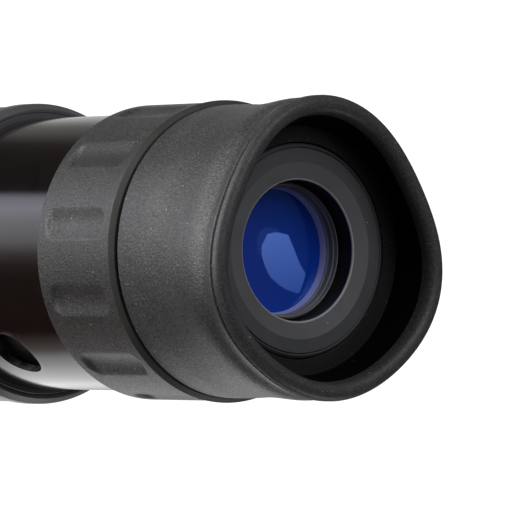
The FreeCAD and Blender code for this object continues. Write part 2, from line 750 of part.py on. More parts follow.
def eye_lens_ring():
    """Threaded ring over the eye lens, with a bevel and two fine ridges inside."""
    bevel_z = eye_rim_z + eye_ring_bevel_share * (cell_tip_z - eye_rim_z)
    bevel_r = eye_clear_r + eye_ring_bevel_width
    top_r = lens_ring_r - eye_ring_edge
    step_z = (cell_tip_z - bevel_z) / ridge_count
    step_r = (top_r - bevel_r) / ridge_count
    points = [(eye_clear_r, eye_rim_z), (lens_ring_r, eye_rim_z), (lens_ring_r, cell_tip_z),
              (top_r, cell_tip_z)]
    for i in reversed(range(ridge_count)):
        ridge_z = bevel_z + i * step_z
        ridge_r = bevel_r + i * step_r
        points += [(ridge_r + step_r, ridge_z + step_z / 3), (ridge_r, ridge_z + step_z / 5),
                   (ridge_r, ridge_z)]
    return turned(*points)


field_seat_z = field_pin_z - field_collar_half + field_seat_height
field_joint_z = field_seat_z + field_front_edge
field_rim_z = field_joint_z + field_rear_edge


def field_cell():
    """Cell of the field group: a collar in the guide tube and a tube down to the field stop."""
    low = field_pin_z - field_collar_half
    high = field_pin_z + field_collar_half
    tube_z = low - field_tube_length
    tube_r = field_seat_r + field_tube_wall
    body = turned(
        (field_seat_r, tube_z), (tube_r, tube_z), (tube_r, low), (cell_r - edge_break, low),
        (cell_r, low + edge_break), (cell_r, high - edge_break), (cell_r - edge_break, high),
        (field_lens_r, high), (field_lens_r, field_seat_z), (field_seat_r, field_seat_z))
    return body.cut(pin_holes(field_pin_z, field_pin_start))


def field_lens_front():
    return lens(field_lens_r, field_seat_z, field_joint_z, field_front_hollow, -field_joint_hollow)


def field_lens_rear():
    return lens(field_lens_r, field_joint_z, field_rim_z, -field_joint_hollow, field_rear_crown, 0,
                field_ring_wall)


def field_ring():
    return sleeve(field_lens_r - field_ring_wall, field_lens_r, field_rim_z, field_rim_z + field_ring_length)


def field_stop():
    """Sharp-edged ring at the bottom of the field cell's tube."""
    low = field_pin_z - field_collar_half - field_tube_length + field_stop_inset
    high = low + field_stop_length
    inner_r = field_seat_r - field_stop_width
    return turned((inner_r, low), (field_seat_r, low), (field_seat_r, high),
                  (inner_r + field_stop_bevel, high), (inner_r, low + field_stop_edge))


# ---- Eyecup ----

def eyecup_ring():
    """Hard ring inside the rubber, turning on the head's journal."""
    nut_room_r = nut_r + nut_room
    lip_r = cup_ring_r - cup_ring_lip
    low = cup_base_z + cup_ring_inset
    clip_seat_z = clip_low_z - end_play
    step_z = nut_high_z + turning_gap
    return turned(
        (nut_room_r, low), (cup_ring_r, low), (cup_ring_r, cup_ceiling_z), (lip_r, cup_ceiling_z),
        (lip_r, clip_seat_z), (cup_bore_r, clip_seat_z), (cup_bore_r, step_z), (nut_room_r, step_z))


def lip_radius(angle):
    """Outline of the lip, at an angle from the wing."""
    return lip_mean_r + sum(wave * cos((i + 1) * angle) for i, wave in enumerate(lip_waves))


def cup_rows():
    """Rows of control points up the outside, over the lip and down the inside.

    Each row is a radius, a height, the share of the lip's outline that it follows and the share of its
    tilt.
    """
    lip_z = bore_z + lip_height
    wall = lip_z - cup_base_z
    outside = [(cup_base_r, cup_base_z, 0, 0)]
    for share, follow, pinch in wall_poles:
        outside.append((cup_base_r - cup_waist * pinch, cup_base_z + wall * share, follow,
                        follow * wall_tilt_share))
    over = [(lip_mean_r + out * bead_r, lip_z + up * bead_r, follow, 1) for out, up, follow in bead_poles]
    inside = []
    for share, follow in inner_poles:
        height = cup_floor_z + (lip_z - cup_floor_z) * share
        tilt = share * inner_tilt_share if follow else 0
        inside.append((cup_floor_r + cup_wall_spread * share, height, follow, tilt))
    inside.append((cup_floor_r, cup_floor_z, 0, 0))
    return outside + over + inside


def cup_skin():
    """One closed-round face that runs from the eyecup's base over the lip to its floor."""
    rows = cup_rows()
    spread = 3 / (2 + cos(2 * pi / skin_poles))
    poles = []
    for i in range(skin_poles):
        angle = 2 * pi * i / skin_poles
        turn = angle + radians(wing_angle)
        column = []
        for radius, height, follow, tilt in rows:
            r = (radius + follow * (lip_radius(angle) - lip_mean_r)) * spread
            column.append(Vector(r * cos(turn), r * sin(turn), height - tilt * lip_tilt * cos(angle)))
        poles.append(column)
    spans = len(rows) - 3
    surface = Part.BSplineSurface()
    surface.buildFromPolesMultsKnots(
        poles, [1] * (skin_poles + 1), [4] + [1] * (spans - 1) + [4],
        [float(i) for i in range(skin_poles + 1)], [float(i) for i in range(spans + 1)], True, False, 3, 3)
    return surface.toShape()


def flat_ring(face, other, height):
    """Flat face between the circles of two shapes that lie at one height."""
    wires = []
    for shape in (face, other):
        edges = [e for e in shape.Edges
                 if abs(e.BoundBox.ZMax - height) < 0.01 and e.BoundBox.ZLength < 0.01]
        wires.append(Part.Wire(edges[:1]))
    return Part.makeFace(wires, "Part::FaceMakerBullseye")


def eyecup():
    """Rubber eyecup with a rolled lip that is drawn out into a low wing."""
    skin = cup_skin()
    corners = [Vector(cup_floor_hole_r, 0, cup_floor_z), Vector(cup_floor_hole_r, 0, cup_ceiling_z),
               Vector(cup_ring_r, 0, cup_ceiling_z), Vector(cup_ring_r, 0, cup_base_z)]
    lining = Part.makePolygon(corners).revolve(origin, axis, 360)
    faces = [skin] + lining.Faces
    faces += [flat_ring(skin, lining, cup_base_z), flat_ring(skin, lining, cup_floor_z)]
    shell = Part.makeCompound(faces)
    shell.sewShape()
    solid = Part.Solid(Part.Shell(shell.Faces))
    if solid.Volume < 0:
        solid.reverse()
    return solid


os.makedirs("parts", exist_ok=True)

save("nosepiece", nosepiece())
save("nosepiece_baffle", nosepiece_baffle())
save("housing", housing())
save("outer_tube", outer_tube())
save("guide_tube", guide_tube())
save("guide_tube_screws", *foot_screws())
save("stop_pin", stop_pin())
save("lower_washer", sleeve(drum_bore_r, washer_r, foot_z, foot_z + washer_thickness))
save("upper_washer", sleeve(drum_bore_r, washer_r, ring_front_z - washer_thickness, ring_front_z))
save("drum_nut", drum_nut())
save("head", head())
save("bezel", bezel())
save("eyecup_clip", eyecup_clip())

save("cam_drum", cam_drum())
save("dial_sleeve", dial_sleeve())
save("zoom_ring", zoom_ring())
save("drive_screws", *drive_screws())
save("rubber_grip", rubber_grip())

save("eye_cell", eye_cell())
save("eye_lens", eye_lens())
save("eye_lens_ring", eye_lens_ring())
save("lens_spacer", lens_spacer())
save("doublet_crown", doublet_crown())
save("doublet_flint", doublet_flint())
save("eye_cam_pins", *cam_pins(eye_pin_z, eye_pin_start))
save("eye_rollers", *rollers(eye_pin_z, eye_pin_start))

save("field_cell", field_cell())
save("field_stop", field_stop())
save("field_lens_front", field_lens_front())
save("field_lens_rear", field_lens_rear())
save("field_ring", field_ring())
save("field_cam_pins", *cam_pins(field_pin_z, field_pin_start))
save("field_rollers", *rollers(field_pin_z, field_pin_start))

save("eyecup_ring", eyecup_ring())
save("eyecup", eyecup())
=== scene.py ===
"""Looks of a zoom eyepiece: visible pieces, finishes and studio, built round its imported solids."""
import logging
import math
from dataclasses import dataclass
from enum import Enum
from functools import cache
from typing import Callable, NamedTuple, Optional, Sequence, Union

import bmesh
import bpy
from mathutils import Matrix, Vector


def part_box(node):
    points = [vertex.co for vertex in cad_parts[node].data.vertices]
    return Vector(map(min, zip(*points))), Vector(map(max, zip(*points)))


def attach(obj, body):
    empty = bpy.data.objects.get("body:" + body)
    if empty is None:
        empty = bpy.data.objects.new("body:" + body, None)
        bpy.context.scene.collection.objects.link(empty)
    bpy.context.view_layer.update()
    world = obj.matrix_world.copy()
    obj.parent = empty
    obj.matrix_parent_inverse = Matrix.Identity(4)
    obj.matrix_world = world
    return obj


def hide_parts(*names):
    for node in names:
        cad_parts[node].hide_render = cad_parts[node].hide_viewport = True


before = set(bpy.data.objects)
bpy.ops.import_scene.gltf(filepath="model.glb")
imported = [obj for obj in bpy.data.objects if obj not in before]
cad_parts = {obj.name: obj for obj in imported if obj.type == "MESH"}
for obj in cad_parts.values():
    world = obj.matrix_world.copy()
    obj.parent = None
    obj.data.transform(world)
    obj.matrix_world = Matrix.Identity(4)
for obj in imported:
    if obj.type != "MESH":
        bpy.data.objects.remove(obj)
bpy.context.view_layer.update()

MM = 0.001
FULL_TURN = 2 * math.pi
SHARP_ANGLE = math.radians(32.0)
TINY = 0.001
log = logging.getLogger("eyepiece")

Colour = tuple[float, float, float]
Socket = bpy.types.NodeSocket
Value = Union[float, tuple, Socket]
Place = tuple[float, float]
Point = tuple[float, ...]
Spot = tuple[float, float, float]
Face = tuple[int, ...]


# ---------------------------------------------------------------- node helpers

class Graph:
    """Adds and joins the nodes of one node tree."""

    def __init__(self, tree: bpy.types.NodeTree) -> None:
        """Keep the tree that the nodes go into."""
        self.tree = tree

    def feed(self, node: bpy.types.Node, inputs: dict[Union[str, int], Value]) -> bpy.types.Node:
        """Set or join inputs of a node.

        Args:
            node: The node.
            inputs: Numbers, colours or sockets, by the name or the place of each input.

        Returns:
            The node.
        """
        for key, value in inputs.items():
            if isinstance(value, Socket):
                self.tree.links.new(value, node.inputs[key])
            else:
                node.inputs[key].default_value = value
        return node

    def add(self, kind: str, inputs: Optional[dict[Union[str, int], Value]] = None,
            **settings: object) -> bpy.types.Node:
        """Add one node.

        Args:
            kind: Name of the node type.
            inputs: Numbers, colours or sockets for its inputs.
            **settings: Properties of the node itself.

        Returns:
            The new node.
        """
        node = self.tree.nodes.new(kind)
        for key, setting in settings.items():
            setattr(node, key, setting)
        return self.feed(node, inputs or {})

    def use(self, group: bpy.types.NodeTree, **inputs: Value) -> bpy.types.NodeOutputs:
        """Place a node group.

        Args:
            group: The group.
            **inputs: Values of its inputs.

        Returns:
            Its outputs.
        """
        return self.feed(self.add("ShaderNodeGroup", node_tree=group), inputs).outputs

    def math(self, operation: str, *values: Value) -> Socket:
        """Join numbers by one operation, such as "MULTIPLY"."""
        return self.add("ShaderNodeMath", dict(enumerate(values)), operation=operation).outputs[0]

    def remap(self, value: Value, low: float, high: float, to_low: Value = 0.0, to_high: Value = 1.0,
              smooth: bool = False) -> Socket:
        """Map a value from one range to another, held at the ends.

        Args:
            value: The value.
            low: Value that becomes to_low.
            high: Value that becomes to_high.
            to_low: Result at low.
            to_high: Result at high.
            smooth: Whether the change eases in and out.

        Returns:
            The mapped value.
        """
        kind = "SMOOTHSTEP" if smooth else "LINEAR"
        inputs = {"Value": value, "From Min": low, "From Max": high, "To Min": to_low, "To Max": to_high}
        return self.add("ShaderNodeMapRange", inputs, interpolation_type=kind).outputs["Result"]

    def blend(self, share: Value, first: Union[Colour, Socket], second: Union[Colour, Socket]) -> Socket:
        """Mix two colours.

        Args:
            share: Share of the second colour.
            first: First colour.
            second: Second colour.

        Returns:
            The mixed colour.
        """
        inputs = {0: share, 6: opaque(first), 7: opaque(second)}
        return self.add("ShaderNodeMix", inputs, data_type="RGBA").outputs[2]

    def place(self, per_metre: Value = 1.0) -> Socket:
        """Give the point on the surface in the frame's own axes, in metres times a scale."""
        inputs = {0: self.add("ShaderNodeTexCoord").outputs["Object"], "Scale": per_metre}
        return self.add("ShaderNodeVectorMath", inputs, operation="SCALE").outputs[0]

    def cells(self, size_mm: Value) -> Socket:
        """Give the point on the surface, counted in cells of a size."""
        return self.place(self.math("DIVIDE", 1 / MM, size_mm))

    def noise(self, place: Socket, detail: float, roughness: float = 0.5, distortion: float = 0.0) -> Socket:
        """Give a noise with cells of one unit.

        Args:
            place: Point that it is read at.
            detail: Number of finer layers.
            roughness: Strength of the finer layers.
            distortion: How far it is bent.

        Returns:
            The noise, from 0 to 1.
        """
        inputs = {"Vector": place, "Scale": 1.0, "Detail": detail, "Roughness": roughness,
                  "Distortion": distortion}
        return self.add("ShaderNodeTexNoise", inputs).outputs["Fac"]

    def bump(self, height: Socket, strength: float, distance_mm: float) -> Socket:
        """Turn a height into a normal."""
        inputs = {"Height": height, "Strength": strength, "Distance": distance_mm * MM}
        return self.add("ShaderNodeBump", inputs).outputs[0]


class Group(Graph):
    """A shader node group with named inputs and outputs, used by many materials."""

    def __init__(self, name: str, **inputs: float) -> None:
        """Start the group.

        Args:
            name: Its name.
            **inputs: Usual values of its inputs.
        """
        super().__init__(bpy.data.node_groups.new(name, "ShaderNodeTree"))
        for key, value in inputs.items():
            socket = self.tree.interface.new_socket(name=key, in_out="INPUT", socket_type="NodeSocketFloat")
            socket.default_value = value
        self.given = self.add("NodeGroupInput").outputs

    def close(self, **results: Socket) -> bpy.types.NodeTree:
        """Name the outputs.

        Args:
            **results: Socket of each output.

        Returns:
            The group's node tree.
        """
        for key in results:
            self.tree.interface.new_socket(name=key, in_out="OUTPUT", socket_type="NodeSocketFloat")
        self.add("NodeGroupOutput", results)
        return self.tree


@cache
def skin_grain() -> bpy.types.NodeTree:
    """Give the fine pebbled skin of moulded rubber: a height and a soft mottle.

    Returns:
        The node group.
    """
    group = Group("skin grain", grain_mm=0.12)
    fine = group.noise(group.cells(group.given["grain_mm"]), 2.0, 0.6)
    broad = group.noise(group.place(180.0), 4.0, 0.65)
    mottle = group.math("ADD", group.math("MULTIPLY", fine, 0.82), group.math("MULTIPLY", broad, 0.18))
    return group.close(Height=fine, Mottle=mottle)


@cache
def settled_dust() -> bpy.types.NodeTree:
    """Give scattered specks of dust as a mask.

    Returns:
        The node group.
    """
    group = Group("settled dust", spacing_mm=0.5, size=0.18, amount=0.1)
    inputs = {"Vector": group.cells(group.given["spacing_mm"]), "Scale": 1.0, "Randomness": 1.0}
    cells = group.add("ShaderNodeTexVoronoi", inputs).outputs
    chance = group.add("ShaderNodeSeparateColor", {0: cells["Color"]}).outputs
    patchy = group.remap(group.noise(group.place(90.0), 2.0), 0.35, 0.7, 0.2, 1.8)
    picked = group.math("LESS_THAN", chance[0], group.math("MULTIPLY", group.given["amount"], patchy))
    radius = group.math("MULTIPLY", group.given["size"], group.remap(chance[1], 0.0, 1.0, 0.35, 1.0))
    speck = group.math("LESS_THAN", cells["Distance"], radius)
    return group.close(Mask=group.math("MULTIPLY", picked, speck))


@cache
def edge_wear() -> bpy.types.NodeTree:
    """Give a broken-up mask along outside edges, where handling polishes or bares them.

    Returns:
        The node group.
    """
    group = Group("edge wear", amount=0.5)
    edge = group.remap(group.add("ShaderNodeNewGeometry").outputs["Pointiness"], 0.5, 0.56, smooth=True)
    broken = group.remap(group.noise(group.place(700.0), 5.0), 0.35, 0.65)
    mask = group.math("MULTIPLY", edge, broken)
    return group.close(Mask=group.math("MULTIPLY", mask, group.given["amount"]))


@cache
def turning_lines() -> bpy.types.NodeTree:
    """Give fine uneven lines round the axis, as a lathe tool leaves them.

    Returns:
        The node group.
    """
    group = Group("turning lines", pitch_mm=0.3)
    parts = group.add("ShaderNodeSeparateXYZ", {0: group.place()}).outputs
    squares = [group.math("POWER", parts[i], 2.0) for i in range(2)]
    along = group.math("ADD", group.math("SQRT", group.math("ADD", *squares)), parts[2])
    step = group.math("MULTIPLY", along, group.math("DIVIDE", 1 / MM, group.given["pitch_mm"]))
    inputs = {"W": step, "Scale": 1.0, "Detail": 3.0, "Roughness": 0.7}
    lines = group.add("ShaderNodeTexNoise", inputs, noise_dimensions="1D")
    return group.close(Height=lines.outputs["Fac"])


@cache
def smears() -> bpy.types.NodeTree:
    """Give broad soft clouds where a face has been handled.

    Returns:
        The node group.
    """
    group = Group("smears", size_mm=9.0)
    cloud = group.noise(group.cells(group.given["size_mm"]), 6.0, 0.6, 0.8)
    return group.close(Cloud=group.remap(cloud, 0.3, 0.7))


# ---------------------------------------------------------------- finishes

def new_material(name: str) -> tuple[bpy.types.Material, Graph]:
    """Start a material.

    Args:
        name: Its name.

    Returns:
        The material and its empty graph.
    """
    material = bpy.data.materials.new(name)
    material.use_nodes = True
    material.node_tree.nodes.clear()
    return material, Graph(material.node_tree)


def finished(graph: Graph, shader: bpy.types.Node) -> None:
    """Make a shader node the material's surface."""
    graph.add("ShaderNodeOutputMaterial", {0: shader.outputs[0]})


def opaque(colour: Union[Colour, Socket]) -> Union[tuple[float, ...], Socket]:
    """Give a colour full alpha, and leave a socket as it is."""
    return colour if isinstance(colour, Socket) else (*colour, 1.0)


@dataclass(frozen=True)
class Look:
    """What every finish has: its name and its main colour."""

    name: str
    colour: Colour


@dataclass(frozen=True)
class MouldedRubber(Look):
    """Matt moulded rubber: a fine skin with dust in it and slightly paler edges."""

    pale: Colour
    dust_colour: Colour = (0.15, 0.146, 0.142)
    speck_colour: Colour = (0.30, 0.295, 0.29)
    grain_mm: float = 0.32
    grain_depth: float = 0.32
    roughness: float = 0.48
    uneven: float = 0.06
    specular: float = 0.5
    dust: float = 0.06

    def surface(self, graph: Graph) -> dict[str, Value]:
        """Give the inputs of the finish's shader.

        Args:
            graph: Graph of the material.

        Returns:
            Values by the name of the input.
        """
        grain = graph.use(skin_grain(), grain_mm=self.grain_mm)
        wear = graph.use(edge_wear(), amount=0.6)["Mask"]
        powder = graph.use(settled_dust(), spacing_mm=0.36, size=0.24, amount=self.dust)["Mask"]
        specks = graph.use(settled_dust(), spacing_mm=1.3, size=0.1, amount=0.6 * self.dust)["Mask"]
        mottled = graph.blend(graph.remap(grain["Mottle"], 0.38, 0.62), self.colour, self.pale)
        dusty = graph.blend(powder, graph.blend(wear, mottled, self.pale), self.dust_colour)
        dull, bright = self.roughness + self.uneven, self.roughness - self.uneven
        return {"Base Color": graph.blend(specks, dusty, self.speck_colour),
                "Roughness": graph.remap(grain["Mottle"], 0.3, 0.7, dull, bright),
                "Specular IOR Level": self.specular,
                "Normal": graph.bump(grain["Height"], self.grain_depth, self.grain_mm)}


@dataclass(frozen=True)
class Clouded(Look):
    """Smooth surface with soft clouds in it, such as engineering plastic or paint."""

    roughness: float = 0.4
    uneven: float = 0.12
    cloud_mm: float = 4.0
    cloud_shade: float = 0.85

    def surface(self, graph: Graph) -> dict[str, Value]:
        """Give the inputs of the finish's shader.

        Args:
            graph: Graph of the material.

        Returns:
            Values by the name of the input.
        """
        cloud = graph.use(smears(), size_mm=self.cloud_mm)["Cloud"]
        shaded = tuple(self.cloud_shade * c for c in self.colour)
        return {"Base Color": graph.blend(cloud, self.colour, shaded),
                "Roughness": graph.remap(cloud, 0.0, 1.0, self.roughness, self.roughness + self.uneven)}


@dataclass(frozen=True)
class TurnedMetal(Clouded):
    """Plated, brushed or bare metal with fine turning lines round it."""

    roughness: float = 0.12
    uneven: float = 0.1
    cloud_mm: float = 6.0
    cloud_shade: float = 0.86
    pitch_mm: float = 0.12
    line_depth: float = 0.12
    metallic: float = 1.0

    def surface(self, graph: Graph) -> dict[str, Value]:
        """Give the inputs of the finish's shader.

        Args:
            graph: Graph of the material.

        Returns:
            Values by the name of the input.
        """
        lines = graph.use(turning_lines(), pitch_mm=self.pitch_mm)["Height"]
        return super().surface(graph) | {"Metallic": self.metallic,
                                         "Normal": graph.bump(lines, self.line_depth, 0.02)}


@dataclass(frozen=True)
class Anodised(TurnedMetal):
    """Anodised aluminium, from gloss to matt, with dust and rubbed edges."""

    bare: Colour = (0.20, 0.20, 0.21)
    dust_colour: Colour = (0.5, 0.5, 0.5)
    roughness: float = 0.2
    uneven: float = 0.05
    cloud_mm: float = 8.0
    cloud_shade: float = 1.35
    pitch_mm: float = 0.25
    line_depth: float = 0.04
    metallic: float = 0.0
    specular: float = 0.5
    wear: float = 0.25
    dust: float = 0.012

    def surface(self, graph: Graph) -> dict[str, Value]:
        """Give the inputs of the finish's shader.

        Args:
            graph: Graph of the material.

        Returns:
            Values by the name of the input.
        """
        inputs = super().surface(graph)
        wear = graph.use(edge_wear(), amount=self.wear)["Mask"]
        dust = graph.use(settled_dust(), spacing_mm=0.9, size=0.11, amount=self.dust)["Mask"]
        worn = graph.blend(wear, inputs["Base Color"], self.bare)
        return inputs | {"Base Color": graph.blend(dust, worn, self.dust_colour),
                         "Specular IOR Level": self.specular}


@dataclass(frozen=True)
class Glass(Look):
    """Coated optical glass: its colour turns with the angle that it is seen at."""

    slanted: Colour
    reflex: Colour
    transmission: float
    dust: float = 0.02
    dust_colour: Colour = (0.5, 0.55, 0.7)
    roughness: float = 0.02

    def surface(self, graph: Graph) -> dict[str, Value]:
        """Give the inputs of the finish's shader.

        Args:
            graph: Graph of the material.

        Returns:
            Values by the name of the input.
        """
        turn = graph.add("ShaderNodeLayerWeight", {"Blend": 0.5}).outputs["Facing"]
        dust = graph.use(settled_dust(), spacing_mm=1.1, size=0.08, amount=self.dust)["Mask"]
        hue = graph.blend(graph.remap(turn, 0.12, 0.55, smooth=True), self.colour, self.slanted)
        return {"Base Color": graph.blend(dust, hue, self.dust_colour),
                "Roughness": graph.remap(dust, 0.0, 1.0, self.roughness, 0.5),
                "Transmission Weight": self.transmission, "Specular Tint": opaque(self.reflex),
                "Specular IOR Level": 0.8, "IOR": 1.6}


class Finish(Enum):
    """Every finish on the eyepiece."""

    BRIGHT_NOSEPIECE = TurnedMetal("bright_nosepiece", (0.78, 0.78, 0.80), roughness=0.08)
    STEEL = TurnedMetal("steel", (0.55, 0.55, 0.56), roughness=0.3)
    PIN_BRASS = TurnedMetal("pin_brass", (0.72, 0.53, 0.24), roughness=0.25)
    GLOSS_BLACK = Anodised("gloss_black", (0.0040, 0.0030, 0.0027), roughness=0.10, line_depth=0.01)
    HOUSING_BLACK = Anodised("housing_black", (0.047, 0.047, 0.053), roughness=0.4, wear=0.0)
    BLACK_MATT = Anodised("black_matt", (0.022, 0.022, 0.024), roughness=0.55, line_depth=0.3, wear=0.1)
    RING_BLACK = Anodised("ring_black", (0.034, 0.034, 0.032), roughness=0.5, line_depth=0.15, specular=0.25)
    BEZEL_BLACK = Anodised("bezel_black", (0.036, 0.037, 0.042), roughness=0.55, line_depth=0.05, wear=0.0,
                           dust=0.03)
    # painted sheen: the funnel round the eye bore is a lighter copy of the bezel black, standing in for the
    # sheen it catches
    FUNNEL_PAINTED_SHEEN = Anodised("funnel_painted_sheen", (0.066, 0.067, 0.075), roughness=0.55, line_depth=0.05, wear=0.0)
    BEAD_GREY = Anodised("bead_grey", (0.25, 0.25, 0.255), roughness=0.45, line_depth=0.1, wear=0.0)
    BORE_BLACK = Anodised("bore_black", (0.009, 0.009, 0.009), roughness=0.5, line_depth=0.1, specular=0.25)
    DIAL_BLACK = Anodised("dial_black", (0.006, 0.006, 0.0062), roughness=0.5, line_depth=0.15,
                          specular=0.2, wear=0.0)
    LENS_RING_GREY = Anodised("lens_ring_grey", (0.12, 0.12, 0.122), roughness=0.35, line_depth=0.15)
    # painted reflection: the ring's bevel is tinted blue-lavender to stand in for its reflection of the blue
    # eye lens
    BEVEL_PAINTED_REFLECTION = Anodised("bevel_painted_reflection", (0.30, 0.33, 0.68), roughness=0.3, line_depth=0.05)
    SLIP_PLASTIC = Clouded("slip_plastic", (0.75, 0.74, 0.70))
    FIGURE_WHITE = Clouded("figure_white", (0.78, 0.78, 0.76), roughness=0.6)
    COATED_GLASS = Glass("coated_glass", (0.003, 0.034, 0.31), (0.03, 0.034, 0.23), (0.15, 0.34, 1.0), 0.0)
    PLAIN_GLASS = Glass("plain_glass", (0.80, 0.86, 0.90), (0.55, 0.75, 0.72), (0.7, 0.9, 0.8), 0.95,
                        dust=0.0)
    GRIP_RUBBER = MouldedRubber("grip_rubber", (0.010, 0.0098, 0.0096), (0.046, 0.0451, 0.0442), dust=0.5)
    EYECUP_RUBBER = MouldedRubber("eyecup_rubber", (0.012, 0.0118, 0.012), (0.054, 0.053, 0.053), dust=0.7)
    # painted light and shade: the rolled lip is a retoned copy of the cup rubber, its colour and sheen set to
    # stand in for the lip's shading
    LIP_PAINTED_SHADING = MouldedRubber("lip_painted_shading", (0.022, 0.022, 0.0238), (0.050, 0.0497, 0.054),
                               grain_depth=0.06, dust=0.4, roughness=0.5, specular=0.34)
    # painted shade: the cup's inner wall is a near-black copy of the rubber, standing in for the shade under
    # the lip
    CUP_WALL_PAINTED_SHADE = MouldedRubber("cup_wall_painted_shade", (0.001, 0.001, 0.001), (0.0022, 0.0022, 0.0022),
                               grain_depth=0.1, roughness=0.75, specular=0.04, dust=0.01)
    # painted shade: the cup's floor is a darker copy of the rubber, standing in for the lip's shade on it
    CUP_FLOOR_PAINTED_SHADE = MouldedRubber("cup_floor_painted_shade", (0.004, 0.004, 0.0042), (0.008, 0.008, 0.0084),
                              grain_depth=0.1, roughness=0.6, specular=0.2, dust=0.03)


@cache
def material_of(finish: Finish) -> bpy.types.Material:
    """Build the material of a finish at its first use.

    Args:
        finish: The finish.

    Returns:
        Its material.
    """
    material, graph = new_material(finish.value.name)
    finished(graph, graph.add("ShaderNodeBsdfPrincipled", finish.value.surface(graph)))
    return material


def dress_nodes(finish: Finish, *nodes: str) -> None:
    """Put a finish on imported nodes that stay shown.

    Args:
        finish: The finish.
        *nodes: Names of the nodes.
    """
    for node in nodes:
        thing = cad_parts[node]
        if not thing.material_slots:
            thing.data.materials.append(material_of(finish))
        for held_slot in thing.material_slots:
            held_slot.material = material_of(finish)


# ---------------------------------------------------------------- mesh helpers

class Extent(NamedTuple):
    """Lowest height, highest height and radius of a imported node, in millimetres."""

    low: float
    high: float
    radius: float


@cache
def extent(node: str) -> Extent:
    """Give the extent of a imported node."""
    low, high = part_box(node)
    return Extent(low[2] / MM, high[2] / MM, high[0] / MM)


def polar(radius: float, angle: float, z: float) -> Spot:
    """Give the point at a radius, an angle in radians and a height."""
    return (radius * math.cos(angle), radius * math.sin(angle), z)


def rounded(points: Sequence[Point], steps: int = 7) -> list[Place]:
    """Replace marked corners of a closed outline by arcs.

    Args:
        points: Radius and height of each corner; a third value is the corner's rounding.
        steps: Straight steps in each arc.

    Returns:
        Radius and height of each point.
    """
    line: list[Place] = []
    for i, point in enumerate(points):
        here = Vector(point[:2])
        if len(point) == 2 or point[2] <= 0:
            line.append((here.x, here.y))
            continue
        back = (Vector(points[i - 1][:2]) - here).normalized()
        ahead = (Vector(points[(i + 1) % len(points)][:2]) - here).normalized()
        half = back.angle(ahead) / 2
        middle = here + (back + ahead).normalized() * (point[2] / math.sin(half))
        start = here + back * (point[2] / math.tan(half)) - middle
        end = here + ahead * (point[2] / math.tan(half)) - middle
        turn = start.angle_signed(end)
        for k in range(steps + 1):
            arm = start.copy()
            arm.rotate(Matrix.Rotation(-turn * k / steps, 2))
            line.append((middle.x + arm.x, middle.y + arm.y))
    return line


def held(line: Sequence[Place], reach_in: float = 0.3) -> list[Place]:
    """Add points close to the ends of long straight stretches, so that shading stays near the corners.

    Args:
        line: Closed outline.
        reach_in: Distance of the added points from the ends, in millimetres.

    Returns:
        The outline with the added points.
    """
    result = []
    for i, start in enumerate(line):
        end = line[(i + 1) % len(line)]
        result.append(start)
        length = math.dist(start, end)
        if length > 3 * reach_in:
            result += [tuple(a + (b - a) * share for a, b in zip(start, end))
                       for share in (reach_in / length, 1 - reach_in / length)]
    return result


def placed(name: str, data: bpy.types.ID) -> bpy.types.Object:
    """Make an object and link it to the scene.

    Args:
        name: Its name.
        data: Its mesh, curve, lamp or camera.

    Returns:
        The object.
    """
    thing = bpy.data.objects.new(name, data)
    bpy.context.scene.collection.objects.link(thing)
    return thing


def add_face(spots: list[Spot], faces: list[Face], *corners: Spot) -> None:
    """Add one face with corners of its own."""
    faces.append(tuple(range(len(spots), len(spots) + len(corners))))
    spots.extend(corners)


def make_piece(name: str, spots: Sequence[Spot], faces: Sequence[Face]) -> bpy.types.Object:
    """Make a mesh object from points in millimetres.

    Args:
        name: Name of the piece.
        spots: Its points.
        faces: Its faces, as indices.

    Returns:
        The object, linked to the scene.
    """
    mesh = bpy.data.meshes.new(name)
    mesh.from_pydata([tuple(c * MM for c in spot) for spot in spots], [], faces)
    mesh.validate()
    mesh.shade_smooth()
    mesh.set_sharp_from_angle(angle=SHARP_ANGLE)
    return placed(name, mesh)


def face_outward(piece: bpy.types.Object) -> None:
    """Turn all faces of a closed mesh outward and join points that coincide.

    Args:
        piece: The piece.
    """
    work = bmesh.new()
    work.from_mesh(piece.data)
    bmesh.ops.remove_doubles(work, verts=work.verts, dist=1e-8)
    bmesh.ops.dissolve_degenerate(work, edges=work.edges, dist=1e-9)
    bmesh.ops.recalc_face_normals(work, faces=work.faces)
    work.to_mesh(piece.data)
    work.free()


def join(piece: bpy.types.Object, other: bpy.types.Object) -> None:
    """Join another object's mesh into a piece and remove the other.

    Args:
        piece: The piece that stays.
        other: The object that goes.
    """
    work = bmesh.new()
    work.from_mesh(piece.data)
    work.from_mesh(other.data)
    work.to_mesh(piece.data)
    work.free()
    bpy.data.objects.remove(other)


def sweep(name: str, outline: Callable[[float], Sequence[Place]], segments: int,
          bands: Optional[Callable[[int], int]] = None) -> bpy.types.Object:
    """Sweep a closed outline round the optical axis while it changes with the angle.

    Args:
        name: Name of the piece.
        outline: Gives radius and height of each point at an angle; always as many points.
        segments: Steps round the axis.
        bands: Gives the material index at a point of the outline, if there is more than one.

    Returns:
        The swept piece.
    """
    angles = [FULL_TURN * k / segments for k in range(segments)]
    rings = [[polar(max(r, 0.0), angle, z) for r, z in outline(angle)] for angle in angles]
    count = len(rings[0])
    faces = []
    for k in range(segments):
        here, there = k * count, (k + 1) % segments * count
        for i in range(count):
            j = (i + 1) % count
            faces.append((here + i, there + i, there + j, here + j))
    piece = make_piece(name, [spot for ring in rings for spot in ring], faces)
    if bands:
        for face in piece.data.polygons:
            face.material_index = bands(min(i % count for i in face.vertices))
    face_outward(piece)
    piece.data.set_sharp_from_angle(angle=SHARP_ANGLE)
    return piece


